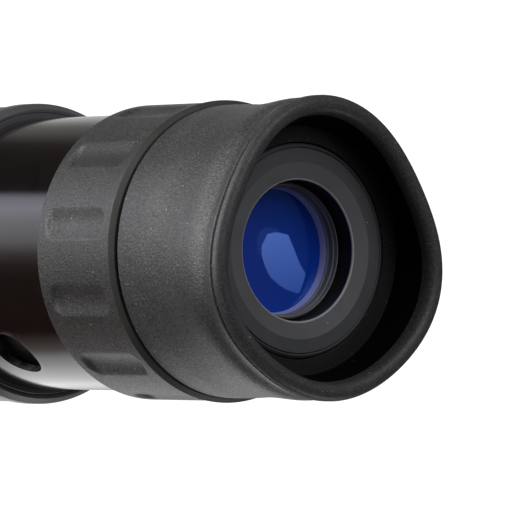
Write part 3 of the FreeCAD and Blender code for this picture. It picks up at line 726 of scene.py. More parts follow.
def lathe(name: str, points: Sequence[Point], segments: int = 256, steps: int = 7,
          zone: Optional[Callable[[float, float], int]] = None) -> bpy.types.Object:
    """Turn a closed outline about the optical axis.

    Args:
        name: Name of the piece.
        points: Corners of the outline, as rounded takes them.
        segments: Steps round the axis.
        steps: Steps in each rounded corner.
        zone: Gives the material index at a radius and height, if there is more than one.

    Returns:
        The turned piece.
    """
    line = held(rounded(points, steps))

    def band(i: int) -> int:
        """Give the material index of the stretch after a point."""
        (r, z), (next_r, next_z) = line[i], line[(i + 1) % len(line)]
        return zone((r + next_r) / 2, (z + next_z) / 2)

    return sweep(name, lambda angle: line, segments, band if zone else None)


def settle(piece: bpy.types.Object, body: str, slot: str, nodes: Sequence[str], *finishes: Finish) -> None:
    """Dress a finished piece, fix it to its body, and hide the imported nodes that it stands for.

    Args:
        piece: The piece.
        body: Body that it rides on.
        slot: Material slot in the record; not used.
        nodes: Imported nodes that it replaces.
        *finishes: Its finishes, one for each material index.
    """
    for finish in finishes:
        piece.data.materials.append(material_of(finish))
    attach(piece, body)
    if nodes:
        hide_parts(*nodes)
    log.info("%s on %s: %d points", piece.name, body, len(piece.data.vertices))


# ---------------------------------------------------------------- fixed barrel

@dataclass
class Nosepiece:
    """Bright push-in barrel with its safety undercut and filter thread."""

    wall: float = 1.1
    thread_depth: float = 0.77
    thread_length: float = 5.0
    thread_pitch: float = 0.6
    thread_ridge: float = 0.28
    thread_lead: float = 0.35
    thread_start: float = 0.1
    thread_runout: float = 0.4
    thread_mouth: float = 0.45
    end_chamfer: float = 0.3
    undercut_depth: float = 0.5
    undercut_length: float = 8.0
    undercut_from_shoulder: float = 8.0
    length: float = 28.0
    shoulder: float = 1.37
    shoulder_chamfer: float = 0.15
    shank_wall: float = 1.5
    throat_below: float = 4.0
    baffle_width: float = 3.27
    baffle_bevel: float = 0.8

    def outline(self) -> list[Point]:
        """Give the outline of the turned barrel, with the thread as ridges.

        Returns:
            Its corners.
        """
        low, top, radius = extent("nosepiece")
        shoulder_z = low + self.length
        throat_z = shoulder_z - self.throat_below
        high = shoulder_z - self.undercut_from_shoulder
        waist = radius - self.undercut_depth
        bore = radius - self.wall
        shank = radius - self.shoulder
        throat = shank - self.shank_wall
        thread = bore - self.thread_depth
        points: list[Point] = [
            (radius - self.end_chamfer, low, 0.12), (radius, low + self.end_chamfer, 0.2),
            (radius, high - self.undercut_length, 0.1),
            (waist, high - self.undercut_length + self.undercut_depth, 0.2),
            (waist, high - self.undercut_depth, 0.2), (radius, high, 0.1),
            (radius, shoulder_z - self.shoulder_chamfer), (radius - self.shoulder_chamfer, shoulder_z),
            (shank, shoulder_z), (shank, top), (throat, top), (throat, throat_z), (bore, throat_z),
            (bore, low + self.thread_length)]
        ridges = int((self.thread_length - self.thread_runout) / self.thread_pitch)
        for i in range(ridges):
            z = low + self.thread_length - self.thread_start - i * self.thread_pitch
            points += [(thread + self.thread_ridge, z), (thread, z - self.thread_pitch / 2)]
        points += [(thread + self.thread_ridge, low + self.thread_lead), (thread + self.thread_mouth, low)]
        return points

    def build(self) -> None:
        """Build and dress the barrel and its baffle."""
        barrel = lathe("nosepiece_barrel", self.outline())
        settle(barrel, "barrel", "bright_nosepiece", ["nosepiece"], Finish.BRIGHT_NOSEPIECE)
        low, high, outer = extent("nosepiece_baffle")
        inner = outer - self.baffle_width
        baffle = lathe("light_baffle", [(inner, low, 0.08), (outer, low), (outer, high),
                                        (inner + self.baffle_bevel, high, 0.05)])
        settle(baffle, "barrel", "black_matt", ["nosepiece_baffle"], Finish.BLACK_MATT)


@dataclass
class Housing:
    """Satin black body with a stepped collar, and the smooth tube that stands on it."""

    spigot: float = 1.7
    collar_length: float = 3.4
    collar_step: float = 0.33
    collar_edge_length: float = 1.0
    collar_edge_width: float = 0.9
    groove_inset: float = 1.55
    groove_depth: float = 0.12
    groove_half: float = 0.14
    foot_taper: float = 3.5
    foot_width: float = 4.57
    foot_depth: float = 5.5
    shank_r: float = 14.5
    nut_width: float = 2.0
    pilot_depth: float = 6.0
    cavity_wall: float = 0.8
    tube_wall: float = 1.3
    tube_edge: float = 0.22
    neck_wall: float = 0.6
    neck_length: float = 4.3
    window_r: float = 4.45
    window_above: float = 12.0
    window_angle: float = -87.3
    patch_half: float = 6.9
    patch_steps: int = 16
    hole_rings: int = 5
    end_rows: int = 4
    rest_columns: int = 300

    def collar(self) -> bpy.types.Object:
        """Build the housing with its collar.

        Returns:
            The piece.
        """
        low, top, radius = extent("housing")
        face = top - self.spigot
        back = radius - self.collar_step
        pilot = extent("drum_nut").radius - self.nut_width
        bore = pilot - self.cavity_wall
        collar_z = face - self.collar_length
        tube_bore = extent("outer_tube").radius - self.tube_wall
        groove = radius - self.groove_inset
        return lathe("housing_body", [
            (self.shank_r, low), (back - self.foot_width, low, 0.4), (back, low + self.foot_taper, 1.5),
            (back, collar_z - self.collar_step, 0.12), (radius, collar_z, 0.15),
            (radius, face - self.collar_edge_length, 0.6), (radius - self.collar_edge_width, face, 0.35),
            (groove + self.groove_half, face, 0.05), (groove, face - self.groove_depth, 0.04),
            (groove - self.groove_half, face, 0.05), (tube_bore, face), (tube_bore, top), (pilot, top),
            (pilot, top - self.pilot_depth), (bore, top - self.pilot_depth),
            (bore, low + self.foot_depth), (self.shank_r, low + self.foot_depth)], 320, 9)

    def skin(self, radius: float, low: float, high: float, spots: list[Spot],
             faces: list[Face]) -> list[Spot]:
        """Add one skin of the tube, with a round hole for the window.

        Args:
            radius: Radius of the skin.
            low: Its lowest height.
            high: Its highest height.
            spots: Points, added to.
            faces: Faces, added to.

        Returns:
            The points round the hole, in order.
        """
        half, steps, ends, rest = self.patch_half, self.patch_steps, self.end_rows, self.rest_columns
        window_z = low + self.window_above
        facing = math.radians(self.window_angle)
        ladder = [-half + 2 * half * i / steps for i in range(steps + 1)]
        columns = [math.asin(step / radius) for step in ladder]
        first, last = columns[-1], FULL_TURN + columns[0]
        columns += [first + (last - first) * i / rest for i in range(1, rest)]
        rows = [low + (window_z - half - low) * i / ends for i in range(ends)]
        rows += [window_z + step for step in ladder]
        rows += [window_z + half + (high - window_z - half) * i / ends for i in range(1, ends + 1)]

        def inward(corner: Place, share: float) -> Spot:
            """Give the point on the way from the square's edge to the hole's."""
            scale = (1 - share) + share * self.window_r / math.hypot(*corner)
            return polar(radius, facing + math.asin(corner[0] * scale / radius), window_z + corner[1] * scale)

        for i, left in enumerate(columns):
            right = columns[(i + 1) % len(columns)]
            for j in range(len(rows) - 1):
                if i >= steps or not ends <= j < ends + steps:
                    add_face(spots, faces, *(polar(radius, facing + angle, rows[row]) for angle, row
                                             in ((left, j), (right, j), (right, j + 1), (left, j + 1))))
        square = [(step, -half) for step in ladder[:-1]] + [(half, step) for step in ladder[:-1]]
        square += [(-x, -y) for x, y in square]
        for corner, following in zip(square, square[1:] + square[:1]):
            for k in range(self.hole_rings):
                near, far = k / self.hole_rings, (k + 1) / self.hole_rings
                add_face(spots, faces, inward(corner, near), inward(following, near),
                         inward(following, far), inward(corner, far))
        return [inward(corner, 1.0) for corner in square]

    def tube(self) -> bpy.types.Object:
        """Build the smooth outer tube with its window.

        Returns:
            The piece.
        """
        low, top, outer = extent("outer_tube")
        inner = outer - self.tube_wall
        neck = inner + self.neck_wall
        shoulder = top - self.neck_length
        edge = self.tube_edge
        spots: list[Spot] = []
        faces: list[Face] = []
        rims = [self.skin(radius, low, shoulder, spots, faces) for radius in (outer, inner)]
        for corners in zip(rims[0], rims[0][1:] + rims[0][:1], rims[1][1:] + rims[1][:1], rims[1]):
            add_face(spots, faces, *corners)
        piece = make_piece("outer_tube_shell", spots, faces)
        face_outward(piece)
        join(piece, lathe("outer_tube_neck", [
            (inner, shoulder), (outer, shoulder - TINY), (outer, shoulder + edge * 0.1, edge * 0.4),
            (outer - edge, shoulder + edge * 0.4), (neck, shoulder + edge * 0.4), (neck, top),
            (inner, top)], 320))
        piece.data.set_sharp_from_angle(angle=SHARP_ANGLE)
        return piece

    def build(self) -> None:
        """Build and dress the housing and the tube."""
        settle(self.collar(), "barrel", "gloss_black", ["housing"], Finish.HOUSING_BLACK)
        settle(self.tube(), "barrel", "gloss_black", ["outer_tube"], Finish.GLOSS_BLACK)


@dataclass
class EyeEnd:
    """Bezel with the eye bore, on the fixed head."""

    eye_bore_r: float = 10.75
    bore_length: float = 4.0
    funnel_width: float = 2.75
    rise: float = 0.5
    bead: float = 0.3
    room: float = 1.85
    height: float = 2.8
    chamfer: float = 0.35
    ledge: float = 1.3
    groove_inset: float = 0.6
    groove_half: float = 0.15
    groove_depth: float = 0.25

    def build(self) -> None:
        """Build and dress the bezel, and dress the hidden fixed pieces."""
        low, top, radius = extent("bezel")
        seat = top - self.height
        bore_z = top - self.rise
        room_z = bore_z - self.bore_length
        room_r = self.eye_bore_r + self.room
        flat_r = self.eye_bore_r + self.funnel_width
        thread_r = radius - self.ledge
        groove = radius - self.groove_inset

        def zone(r: float, z: float) -> int:
            """Give the finish at a place: bezel, bore, funnel with its painted sheen, or the bead between
            them.

            Args:
                r: Radius.
                z: Height.

            Returns:
                The material index.
            """
            if z < bore_z - 1.2 * self.bead:
                return int(r < room_r + 0.01)
            if r < self.eye_bore_r + self.bead:
                return 3
            # index 2 is the funnel, which takes the painted sheen
            return 2 * int(r < flat_r - 0.02)

        bezel = lathe("eye_bezel", [
            (room_r, low), (thread_r, low), (thread_r, seat), (radius, seat),
            (radius, top - self.chamfer, 0.1), (radius - self.chamfer, top, 0.12),
            (groove + self.groove_half, top, 0.03), (groove, top - self.groove_depth),
            (groove - self.groove_half, top, 0.03), (flat_r, top, 0.6),
            (self.eye_bore_r, bore_z, self.bead), (self.eye_bore_r, room_z), (room_r, room_z)], 320, 9, zone)
        settle(bezel, "barrel", "bezel_black", ["bezel"], Finish.BEZEL_BLACK, Finish.BORE_BLACK,
               Finish.FUNNEL_PAINTED_SHEEN, Finish.BEAD_GREY)
        dress_nodes(Finish.BLACK_MATT, "guide_tube", "drum_nut", "head")
        dress_nodes(Finish.STEEL, "guide_tube_screws", "stop_pin", "eyecup_clip")
        dress_nodes(Finish.SLIP_PLASTIC, "lower_washer", "upper_washer")


# ---------------------------------------------------------------- turning zoom ring

@dataclass
class ZoomDial:
    """Drum sleeve with the focal lengths that pass the window."""

    figures: tuple[tuple[str, float], ...] = (("24", 43.0), ("20", 21.0), ("16", -19.0), ("12", -36.0),
                                              ("8", -53.0))
    figure_height: float = 4.05
    figure_lift: float = 0.03
    window_angle: float = Housing.window_angle
    wall: float = 0.7

    def wrap(self, text: str, angle: float, radius: float, height: float) -> bpy.types.Object:
        """Make one printed figure that follows the drum.

        Args:
            text: The figure.
            angle: Its place round the drum, in degrees.
            radius: Radius that it lies on.
            height: Height of its middle.

        Returns:
            The figure's piece.
        """
        curve = bpy.data.curves.new("figure_curve", "FONT")
        curve.body = text
        curve.size = self.figure_height
        curve.align_x = "CENTER"
        curve.align_y = "CENTER"
        curve.resolution_u = 4
        curve.extrude = self.figure_lift
        holder = placed("figure_holder", curve)
        flat = bpy.data.meshes.new_from_object(holder.evaluated_get(bpy.context.evaluated_depsgraph_get()))
        facing = math.radians(angle)
        spots = [polar(radius + vertex.co.z, facing + vertex.co.x / radius, height + vertex.co.y)
                 for vertex in flat.vertices]
        faces = [tuple(face.vertices) for face in flat.polygons]
        bpy.data.objects.remove(holder)
        return make_piece("dial_figure_" + text, spots, faces)

    def build(self) -> None:
        """Build and dress the dial, its figures and the drum."""
        low, high, radius = extent("dial_sleeve")
        inner = radius - self.wall
        sleeve = lathe("focal_dial", [(inner, low), (radius, low, 0.12), (radius, high, 0.12), (inner, high)])
        settle(sleeve, "zoom_ring", "dial_black", ["dial_sleeve"], Finish.DIAL_BLACK)
        for text, turn in self.figures:
            figure = self.wrap(text, self.window_angle - turn, radius, (low + high) / 2)
            settle(figure, "zoom_ring", "dial_black", [], Finish.FIGURE_WHITE)
        dress_nodes(Finish.BLACK_MATT, "cam_drum")
        dress_nodes(Finish.STEEL, "drive_screws")


@dataclass
class ZoomGrip:
    """Turning ring with its fluted rubber sleeve."""

    flutes: int = 12
    flute_start: float = 4.0
    flute_width: float = 5.4
    flute_depth: float = 0.62
    flute_rim: float = 1.7
    corner: float = 1.6
    end_slope: float = 1.3
    back_r: float = 0.35
    front_r: float = 0.2
    thickness: float = 1.15
    skirt_wall: float = 0.85
    run_fit: float = 0.05
    neck_wall: float = Housing.neck_wall
    boss_gap: float = 0.5
    web_gap: float = 0.3
    lip_chamfer: float = 0.8
    lip_length: float = 0.85
    segments: int = 576
    rows: int = 90

    def dip(self, angle: float, along: float, half_length: float) -> float:
        """Give the depth of the flutes at a point: scoops with steep ends that are rounded in plan.

        Args:
            angle: Angle round the ring, in radians.
            along: Distance from the sleeve's middle along the axis.
            half_length: Half the length of a flute.

        Returns:
            Depth in millimetres.
        """
        pitch = FULL_TURN / self.flutes
        turn = (angle - math.radians(self.flute_start) + pitch / 2) % pitch - pitch / 2
        across = abs(turn) * extent("rubber_grip").radius / (self.flute_width / 2)
        if across >= 1:
            return 0.0
        end = half_length - self.corner * (1 - math.sqrt(1 - across * across))
        share = min(max((end - abs(along)) / self.end_slope, 0.0), 1.0)
        return self.flute_depth * (1 - across * across) ** 1.4 * share * share * (3 - 2 * share)

    def sleeve(self) -> bpy.types.Object:
        """Build the rubber sleeve.

        Returns:
            The piece.
        """
        low, high, radius = extent("rubber_grip")
        inner = radius - self.thickness
        skin_r = inner + 0.5
        middle = (low + high) / 2
        half = (high - low) / 2 - self.flute_rim
        corners = rounded([(inner, low), (radius, low, self.back_r), (radius, high, self.front_r),
                           (inner, high)], 6)
        rise = [z for r, z in corners if r > skin_r]
        foot = min(rise, key=lambda z: abs(z - low - self.back_r))
        head = min(rise, key=lambda z: abs(z - high + self.front_r))
        column = [(radius, foot + (head - foot) * i / self.rows) for i in range(1, self.rows)]
        place = next(i for i, (r, z) in enumerate(corners) if abs(z - head) < 1e-6 and r > skin_r)
        line = corners[:place] + column + corners[place:]
        return sweep("grip_sleeve", lambda angle: [
            (r - (self.dip(angle, z - middle, half) if r > skin_r else 0.0), z) for r, z in line],
            self.segments)

    def build(self) -> None:
        """Build and dress the ring and its rubber."""
        low, high, lip = extent("zoom_ring")
        grip_front = high - self.lip_length
        core = extent("rubber_grip").radius - self.thickness
        skirt = core - self.skirt_wall
        boss = skirt - self.run_fit - self.neck_wall - self.boss_gap
        web = extent("outer_tube").high + self.web_gap
        ring = lathe("zoom_ring_body", [
            (skirt, low), (core, low), (core, grip_front), (lip, grip_front, 0.08),
            (lip - self.lip_chamfer, high, 0.12), (boss, high), (boss, web), (skirt, web)], 320)
        settle(ring, "zoom_ring", "ring_black", ["zoom_ring"], Finish.RING_BLACK)
        settle(self.sleeve(), "zoom_ring", "grip_rubber", ["rubber_grip"], Finish.GRIP_RUBBER)


# ---------------------------------------------------------------- lens groups

@dataclass
class EyeGroup:
    """Eye lens under its ridged ring, in the sliding cell."""

    clear_r: float = 9.45
    bevel_width: float = 0.25
    bevel_share: float = 0.38
    ridges: int = 2
    top_width: float = 0.12
    face_sag: float = -0.6
    back_sag: float = -0.9
    back_rim: float = 0.7
    edge: float = 3.8

    def ring(self) -> bpy.types.Object:
        """Build the ring over the lens.

        Returns:
            The piece.
        """
        low, high, outer = extent("eye_lens_ring")
        bevel_z = low + self.bevel_share * (high - low)
        bevel_r = self.clear_r + self.bevel_width
        top_r = outer - self.top_width
        step_z = (high - bevel_z) / self.ridges
        step_r = (top_r - bevel_r) / self.ridges
        points: list[Point] = [(self.clear_r, low, 0.05), (outer, low), (outer, high), (top_r, high, 0.05)]
        for i in reversed(range(self.ridges)):
            z = bevel_z + i * step_z
            r = bevel_r + i * step_r
            points += [(r + step_r, z + step_z / 3, 0.05), (r, z + step_z / 5, 0.05), (r, z)]
        # the bevel band takes the painted reflection of the blue lens
        return lathe("lens_ring", points, 256, 4, lambda r, z: int(r < bevel_r + 0.02 and z < bevel_z + 0.01))

    @staticmethod
    def cap(radius: float, sag: float, height: float, steps: int = 24) -> list[Place]:
        """Give the points of a lens face from the axis out to its rim.

        Args:
            radius: Radius of the rim.
            sag: Height of the middle over the rim.
            height: Height of the rim.
            steps: Steps along the face.

        Returns:
            Radius and height of each point.
        """
        curve = (radius ** 2 + sag ** 2) / (2 * sag)
        half = math.asin(radius / abs(curve))
        way = math.copysign(1, sag)
        return [(abs(curve) * math.sin(half * i / steps),
                 height + sag - curve + way * abs(curve) * math.cos(half * i / steps))
                for i in range(steps + 1)]

    def lens(self) -> bpy.types.Object:
        """Build the eye lens.

        Returns:
            The piece.
        """
        radius = extent("eye_lens").radius
        rim = extent("eye_lens_ring").low
        front = self.cap(self.clear_r, self.face_sag, rim)
        back = self.cap(radius - self.back_rim, self.back_sag, rim - self.edge)
        line = back + [(radius, rim - self.edge), (radius, rim)] + front[::-1]
        return sweep("eye_lens_glass", lambda angle: line, 192)

    def build(self) -> None:
        """Build and dress the visible eye pieces, and dress the rest of the group."""
        settle(self.ring(), "eye_group", "lens_ring_grey", ["eye_lens_ring"], Finish.LENS_RING_GREY,
               Finish.BEVEL_PAINTED_REFLECTION)
        settle(self.lens(), "eye_group", "coated_glass", ["eye_lens"], Finish.COATED_GLASS)
        dress_nodes(Finish.BLACK_MATT, "eye_cell", "lens_spacer")
        dress_nodes(Finish.PLAIN_GLASS, "doublet_crown", "doublet_flint")
        dress_nodes(Finish.PIN_BRASS, "eye_cam_pins")
        dress_nodes(Finish.SLIP_PLASTIC, "eye_rollers")


@dataclass
class FieldGroup:
    """Field lenses and stop, seen through the nosepiece."""

    def build(self) -> None:
        """Dress the group."""
        dress_nodes(Finish.BLACK_MATT, "field_cell", "field_stop", "field_ring")
        dress_nodes(Finish.PLAIN_GLASS, "field_lens_front", "field_lens_rear")
        dress_nodes(Finish.PIN_BRASS, "field_cam_pins")
        dress_nodes(Finish.SLIP_PLASTIC, "field_rollers")


# ---------------------------------------------------------------- eyecup

@dataclass
class Eyecup:
    """Turning rubber eyecup with a rolled lip that is drawn out into a low wing."""

    base_r: float = 22.6
    ring_r: float = 20.6
    hole_r: float = 16.55
    floor_r: float = 19.0
    floor_thickness: float = 2.5
    lip_height: float = 6.44
    lip_mean_r: float = 22.31
    lip_waves: tuple[float, ...] = (-0.21, 0.525, 0.72, 0.30, -0.17)
    lip_tilt: float = 0.73
    waist: float = 0.36
    bead_r: float = 1.35
    spread: float = 0.6
    wing_angle: float = 135.5
    wall_poles: tuple[tuple[float, float, float], ...] = (
        (0.02, 0, 0), (0.12, 0, 0), (0.26, 0, 0.15), (0.34, 0.03, 0.6), (0.5, 0.26, 1), (0.66, 0.5, 0.6),
        (0.8, 0.72, 0.1))
    bead_poles: tuple[tuple[float, float, float], ...] = (
        (-0.35, -2.3, 0.8), (-0.25, -1.3, 0.95), (0.0, -0.85, 1), (0.12, 0.0, 1), (-0.2, 0.85, 1),
        (-1.0, 1.12, 1), (-1.8, 0.8, 1), (-2.12, 0.0, 1), (-2.1, -0.8, 0.9))
    inner_poles: tuple[Place, ...] = ((0.72, 0.7), (0.5, 0.4), (0.25, 0.12), (0.1, 0), (0.04, 0))
    # share of the section from which the inner wall takes its painted shade
    painted_shade_from: float = 0.745
    crease_at: float = 0.487
    crease_width: float = 0.008
    crease_depth: float = 0.4
    rebate: float = 0.5
    rebate_height: float = 0.45
    segments: int = 288
    steps: int = 240

    def rows(self) -> list[tuple[float, float, float, float]]:
        """Give the control rows of the section.

        Returns:
            Radius, height, share of the lip's outline and share of its tilt.
        """
        base_z = extent("eyecup").low
        floor_z = extent("bezel").high
        lip_z = floor_z + self.lip_height
        wall = lip_z - base_z
        rows = [(self.base_r, base_z, 0.0, 0.0)]
        rows += [(self.base_r - self.waist * pinch, base_z + wall * share, follow, follow * 0.8)
                 for share, follow, pinch in self.wall_poles]
        rows += [(self.lip_mean_r + out * self.bead_r, lip_z + up * self.bead_r, follow, 1.0)
                 for out, up, follow in self.bead_poles]
        rows += [(self.floor_r + self.spread * share, floor_z + (lip_z - floor_z) * share, follow,
                  share * 0.9 if follow else 0.0) for share, follow in self.inner_poles]
        return rows + [(self.floor_r, floor_z, 0.0, 0.0)]

    def lip_shift(self, angle: float) -> float:
        """Give how far the lip stands out from its mean radius, at an angle from the wing."""
        return sum(wave * math.cos((i + 1) * angle) for i, wave in enumerate(self.lip_waves))

    @staticmethod
    def smooth(poles: Sequence[Place], steps: int) -> list[Place]:
        """Evaluate a clamped cubic curve.

        Args:
            poles: Its control points.
            steps: Steps along it.

        Returns:
            The points on the curve.
        """
        spans = len(poles) - 3
        knots = [0.0] * 3 + [float(i) for i in range(spans + 1)] + [float(spans)] * 3
        line = []
        for n in range(steps + 1):
            t = min(spans * n / steps, spans - 1e-9)
            k = int(t) + 3
            work = [Vector(poles[j + k - 3]) for j in range(4)]
            for level in range(1, 4):
                for j in range(3, level - 1, -1):
                    i = j + k - 3
                    share = (t - knots[i]) / (knots[i + 4 - level] - knots[i])
                    work[j] = work[j - 1].lerp(work[j], share)
            line.append((work[3].x, work[3].y))
        return line

    def outline(self, angle: float) -> list[Place]:
        """Give the cup's section at an angle in the frame.

        Args:
            angle: Angle in radians.

        Returns:
            Radius and height of each point.
        """
        turn = angle - math.radians(self.wing_angle)
        shift = self.lip_shift(turn)
        drop = self.lip_tilt * math.cos(turn)
        poles = [(r + follow * shift, z - tilt * drop) for r, z, follow, tilt in self.rows()]
        base_z, floor_z = poles[0][1], poles[-1][1]
        highest = extent("eyecup").high
        ceiling = floor_z - self.floor_thickness
        lining = [(self.hole_r, floor_z), (self.hole_r, ceiling), (self.ring_r, ceiling),
                  (self.ring_r, base_z)]
        skin = []
        for i, (r, z) in enumerate(self.smooth(poles, self.steps)):
            off = (i / self.steps - self.crease_at) / self.crease_width
            foot = max(0.0, 1 - (z - base_z) / self.rebate_height) if i < self.steps / 2 else 0.0
            crease = self.crease_depth * math.exp(-off * off)
            skin.append((r - crease - self.rebate * foot, min(z, highest)))
        return skin + lining

    def zone(self, i: int) -> int:
        """Give the finish at a point of the section: outer wall, inner wall or floor with painted shade, or
        lip with painted light and shade.

        Args:
            i: Number of the point.

        Returns:
            The material index.
        """
        if i >= self.steps:
            return 2 if i == self.steps else 0
        if i / self.steps > self.painted_shade_from:
            return 1
        return 3 if i / self.steps > self.crease_at else 0

    def build(self) -> None:
        """Build and dress the cup, and dress its hard ring."""
        cup = sweep("eyecup_rubber", self.outline, self.segments, self.zone)
        # the inner wall and floor take darker copies of the rubber as painted shade, and the lip a retoned
        # copy as painted light and shade
        settle(cup, "eyecup", "eyecup_rubber", ["eyecup"], Finish.EYECUP_RUBBER, Finish.CUP_WALL_PAINTED_SHADE,
               Finish.CUP_FLOOR_PAINTED_SHADE, Finish.LIP_PAINTED_SHADING)
        dress_nodes(Finish.RING_BLACK, "eyecup_ring")


# ---------------------------------------------------------------- studio

@dataclass(frozen=True)
class Lamp:
    """A soft lamp that faces the eyecup: angles in degrees, sizes in metres and power in watts."""

    name: str
    azimuth: float
    elevation: float
    away: float
    width: float
    height: float
    power: float


@dataclass(frozen=True)
class Panel:
    """A soft panel that the eye lens mirrors: azimuth and elevation of its corners, and its level."""

    name: str
    corners: tuple[Place, ...]
    level: float


@dataclass
class Studio:
    """White floor, soft lamps, reflecting cards and the camera."""

    lens: float = 421.875
    sensor: float = 36.0
    tilt: float = 38.77
    roll: float = 0.65
    near_angle: float = -134.5
    shift_right: float = 6.42
    shift_up: float = 0.82
    distance: float = 911.6
    aim_z: float = 115.6
    floor_side: float = 20000.0
    floor_level: float = 0.94
    world_level: float = 0.12
    card_inner: float = 26.0
    card_outer: float = 150.0
    card_z: float = 0.5
    card_level: float = 4.4
    card_steps: int = 120
    card_stops: tuple[tuple[float, Colour], ...] = (
        (-180.0, (0.20, 0.20, 0.22)), (-130.0, (0.15, 0.15, 0.15)), (-116.0, (0.074, 0.074, 0.073)),
        (-103.0, (0.058, 0.057, 0.055)), (-91.0, (0.018, 0.017, 0.016)), (-80.0, (0.010, 0.009, 0.008)),
        (-46.0, (0.006, 0.006, 0.008)), (-41.5, (0.40, 0.395, 0.465)), (-33.0, (0.565, 0.56, 0.65)),
        (-25.0, (0.46, 0.455, 0.50)), (-9.0, (0.31, 0.30, 0.31)), (0.0, (0.10, 0.088, 0.085)),
        (8.0, (0.033, 0.027, 0.024)), (17.0, (0.015, 0.011, 0.009)), (60.0, (0.014, 0.006, 0.005)),
        (70.0, (0.07, 0.058, 0.052)), (77.0, (0.10, 0.09, 0.085)), (84.0, (0.26, 0.26, 0.26)),
        (100.0, (0.38, 0.38, 0.38)), (125.0, (0.44, 0.44, 0.44)), (142.0, (0.16, 0.16, 0.17)),
        (180.0, (0.05, 0.05, 0.055)))
    panel_away: float = 400.0
    panel_z: float = 108.8
    panel_colour: Colour = (0.92, 0.95, 1.0)
    panels: tuple[Panel, ...] = (
        Panel("far_panel", ((176, 50.5), (175.3, 53), (175.6, 56), (179.3, 57.5), (184.5, 59), (190, 60.8),
                            (193, 59.5), (192.6, 57), (191, 55), (189, 53), (186.3, 50.8), (183.5, 49.7),
                            (181, 49), (178.9, 49)), 3.2),
        Panel("faint_panel", ((174.4, 50), (174.4, 53.5), (175.3, 53), (176, 50.5), (178.9, 49), (181, 49),
                              (181, 48), (178, 47.6), (175.8, 48.2)), 0.416))
    lamp_z: float = 90.0
    lamps: tuple[Lamp, ...] = (
        Lamp("key", -25.0, -10.0, 0.32, 0.3, 0.06, 1.2), Lamp("top", -130.0, 12.0, 0.8, 0.4, 0.4, 0.2),
        Lamp("over", -95.0, 55.0, 0.8, 0.5, 0.5, 3.0), Lamp("low", 115.0, 6.0, 0.8, 0.3, 0.3, 1.5))

    def axes(self) -> tuple[Vector, Vector, Vector]:
        """Give the camera's right, up and back directions.

        Returns:
            The three directions.
        """
        near = math.radians(self.near_angle)
        toward = Vector((math.cos(near), math.sin(near), 0))
        across = Vector((math.sin(near), -math.cos(near), 0))
        z = Vector((0, 0, 1))
        tilt, roll = math.radians(self.tilt), math.radians(self.roll)
        back = toward * math.sin(tilt) + z * math.cos(tilt)
        along = z * math.sin(tilt) - toward * math.cos(tilt)
        right = along * math.cos(roll) - across * math.sin(roll)
        up = along * math.sin(roll) + across * math.cos(roll)
        return right, up, back

    def camera(self) -> None:
        """Place the camera."""
        right, up, back = self.axes()
        aim = Vector((0, 0, self.aim_z)) - right * self.shift_right - up * self.shift_up
        data = bpy.data.cameras.new("camera")
        data.sensor_width = self.sensor
        data.lens = self.lens
        data.clip_start = 0.01
        data.clip_end = 100.0
        thing = placed("camera", data)
        turn = Matrix((right, up, back)).transposed().to_4x4()
        thing.matrix_world = Matrix.Translation((aim + back * self.distance) * MM) @ turn
        bpy.context.scene.camera = thing

    def direction(self, azimuth: float, elevation: float) -> Vector:
        """Give a direction from the eyepiece.

        Args:
            azimuth: Degrees from the camera's side.
            elevation: Degrees above the floor.

        Returns:
            The direction.
        """
        level = math.cos(math.radians(elevation))
        rise = math.sin(math.radians(elevation))
        return Vector(polar(level, math.radians(self.near_angle + azimuth), rise))

    def lamp(self, lamp: Lamp) -> None:
        """Place a soft lamp that faces the eyecup.

        Args:
            lamp: Its place, size and power.
        """
        data = bpy.data.lights.new(lamp.name, "AREA")
        data.shape = "RECTANGLE"
        data.size = lamp.width
        data.size_y = lamp.height
        data.energy = lamp.power
        way = self.direction(lamp.azimuth, lamp.elevation)
        thing = placed(lamp.name, data)
        thing.location = Vector((0, 0, self.lamp_z * MM)) + way * lamp.away
        thing.rotation_euler = way.to_track_quat("Z", "Y").to_euler()

    @staticmethod
    def hang(thing: bpy.types.Object, material: bpy.types.Material, *unseen_by: str) -> None:
        """Dress a piece of the studio, and hide it from some kinds of ray.

        Args:
            thing: The piece.
            material: Its material.
            *unseen_by: Kinds of ray that miss it.
        """
        thing.data.materials.append(material)
        for kind in unseen_by:
            setattr(thing, "visible_" + kind, False)

    def floor(self) -> None:
        """Lay a pale floor that keeps the object's shadow."""
        side = self.floor_side
        corners = [(-side, -side, 0), (side, -side, 0), (side, side, 0), (-side, side, 0)]
        material, graph = new_material("pale_floor")
        matt = graph.add("ShaderNodeBsdfDiffuse", {"Color": (0.35, 0.35, 0.35, 1.0)})
        path = graph.add("ShaderNodeLightPath").outputs
        seen = graph.math("MAXIMUM", path["Is Camera Ray"], path["Is Transmission Ray"])
        strength = graph.math("MULTIPLY", seen, self.floor_level)
        glow = graph.add("ShaderNodeEmission", {"Color": (1.0, 1.0, 1.0, 1.0), "Strength": strength})
        finished(graph, graph.add("ShaderNodeAddShader", {0: matt.outputs[0], 1: glow.outputs[0]}))
        self.hang(make_piece("floor", corners, [(0, 1, 2, 3)]), material)

    def world(self) -> None:
        """Set a dim grey surround that looks white to the camera."""
        world = bpy.data.worlds.new("surround")
        world.use_nodes = True
        world.node_tree.nodes.clear()
        graph = Graph(world.node_tree)
        seen = graph.add("ShaderNodeLightPath").outputs["Is Camera Ray"]
        strength = graph.remap(seen, 0.0, 1.0, self.world_level, 1.0)
        shade = graph.add("ShaderNodeBackground", {"Color": (1.0, 1.0, 1.0, 1.0), "Strength": strength})
        graph.add("ShaderNodeOutputWorld", {0: shade.outputs[0]})
        bpy.context.scene.world = world

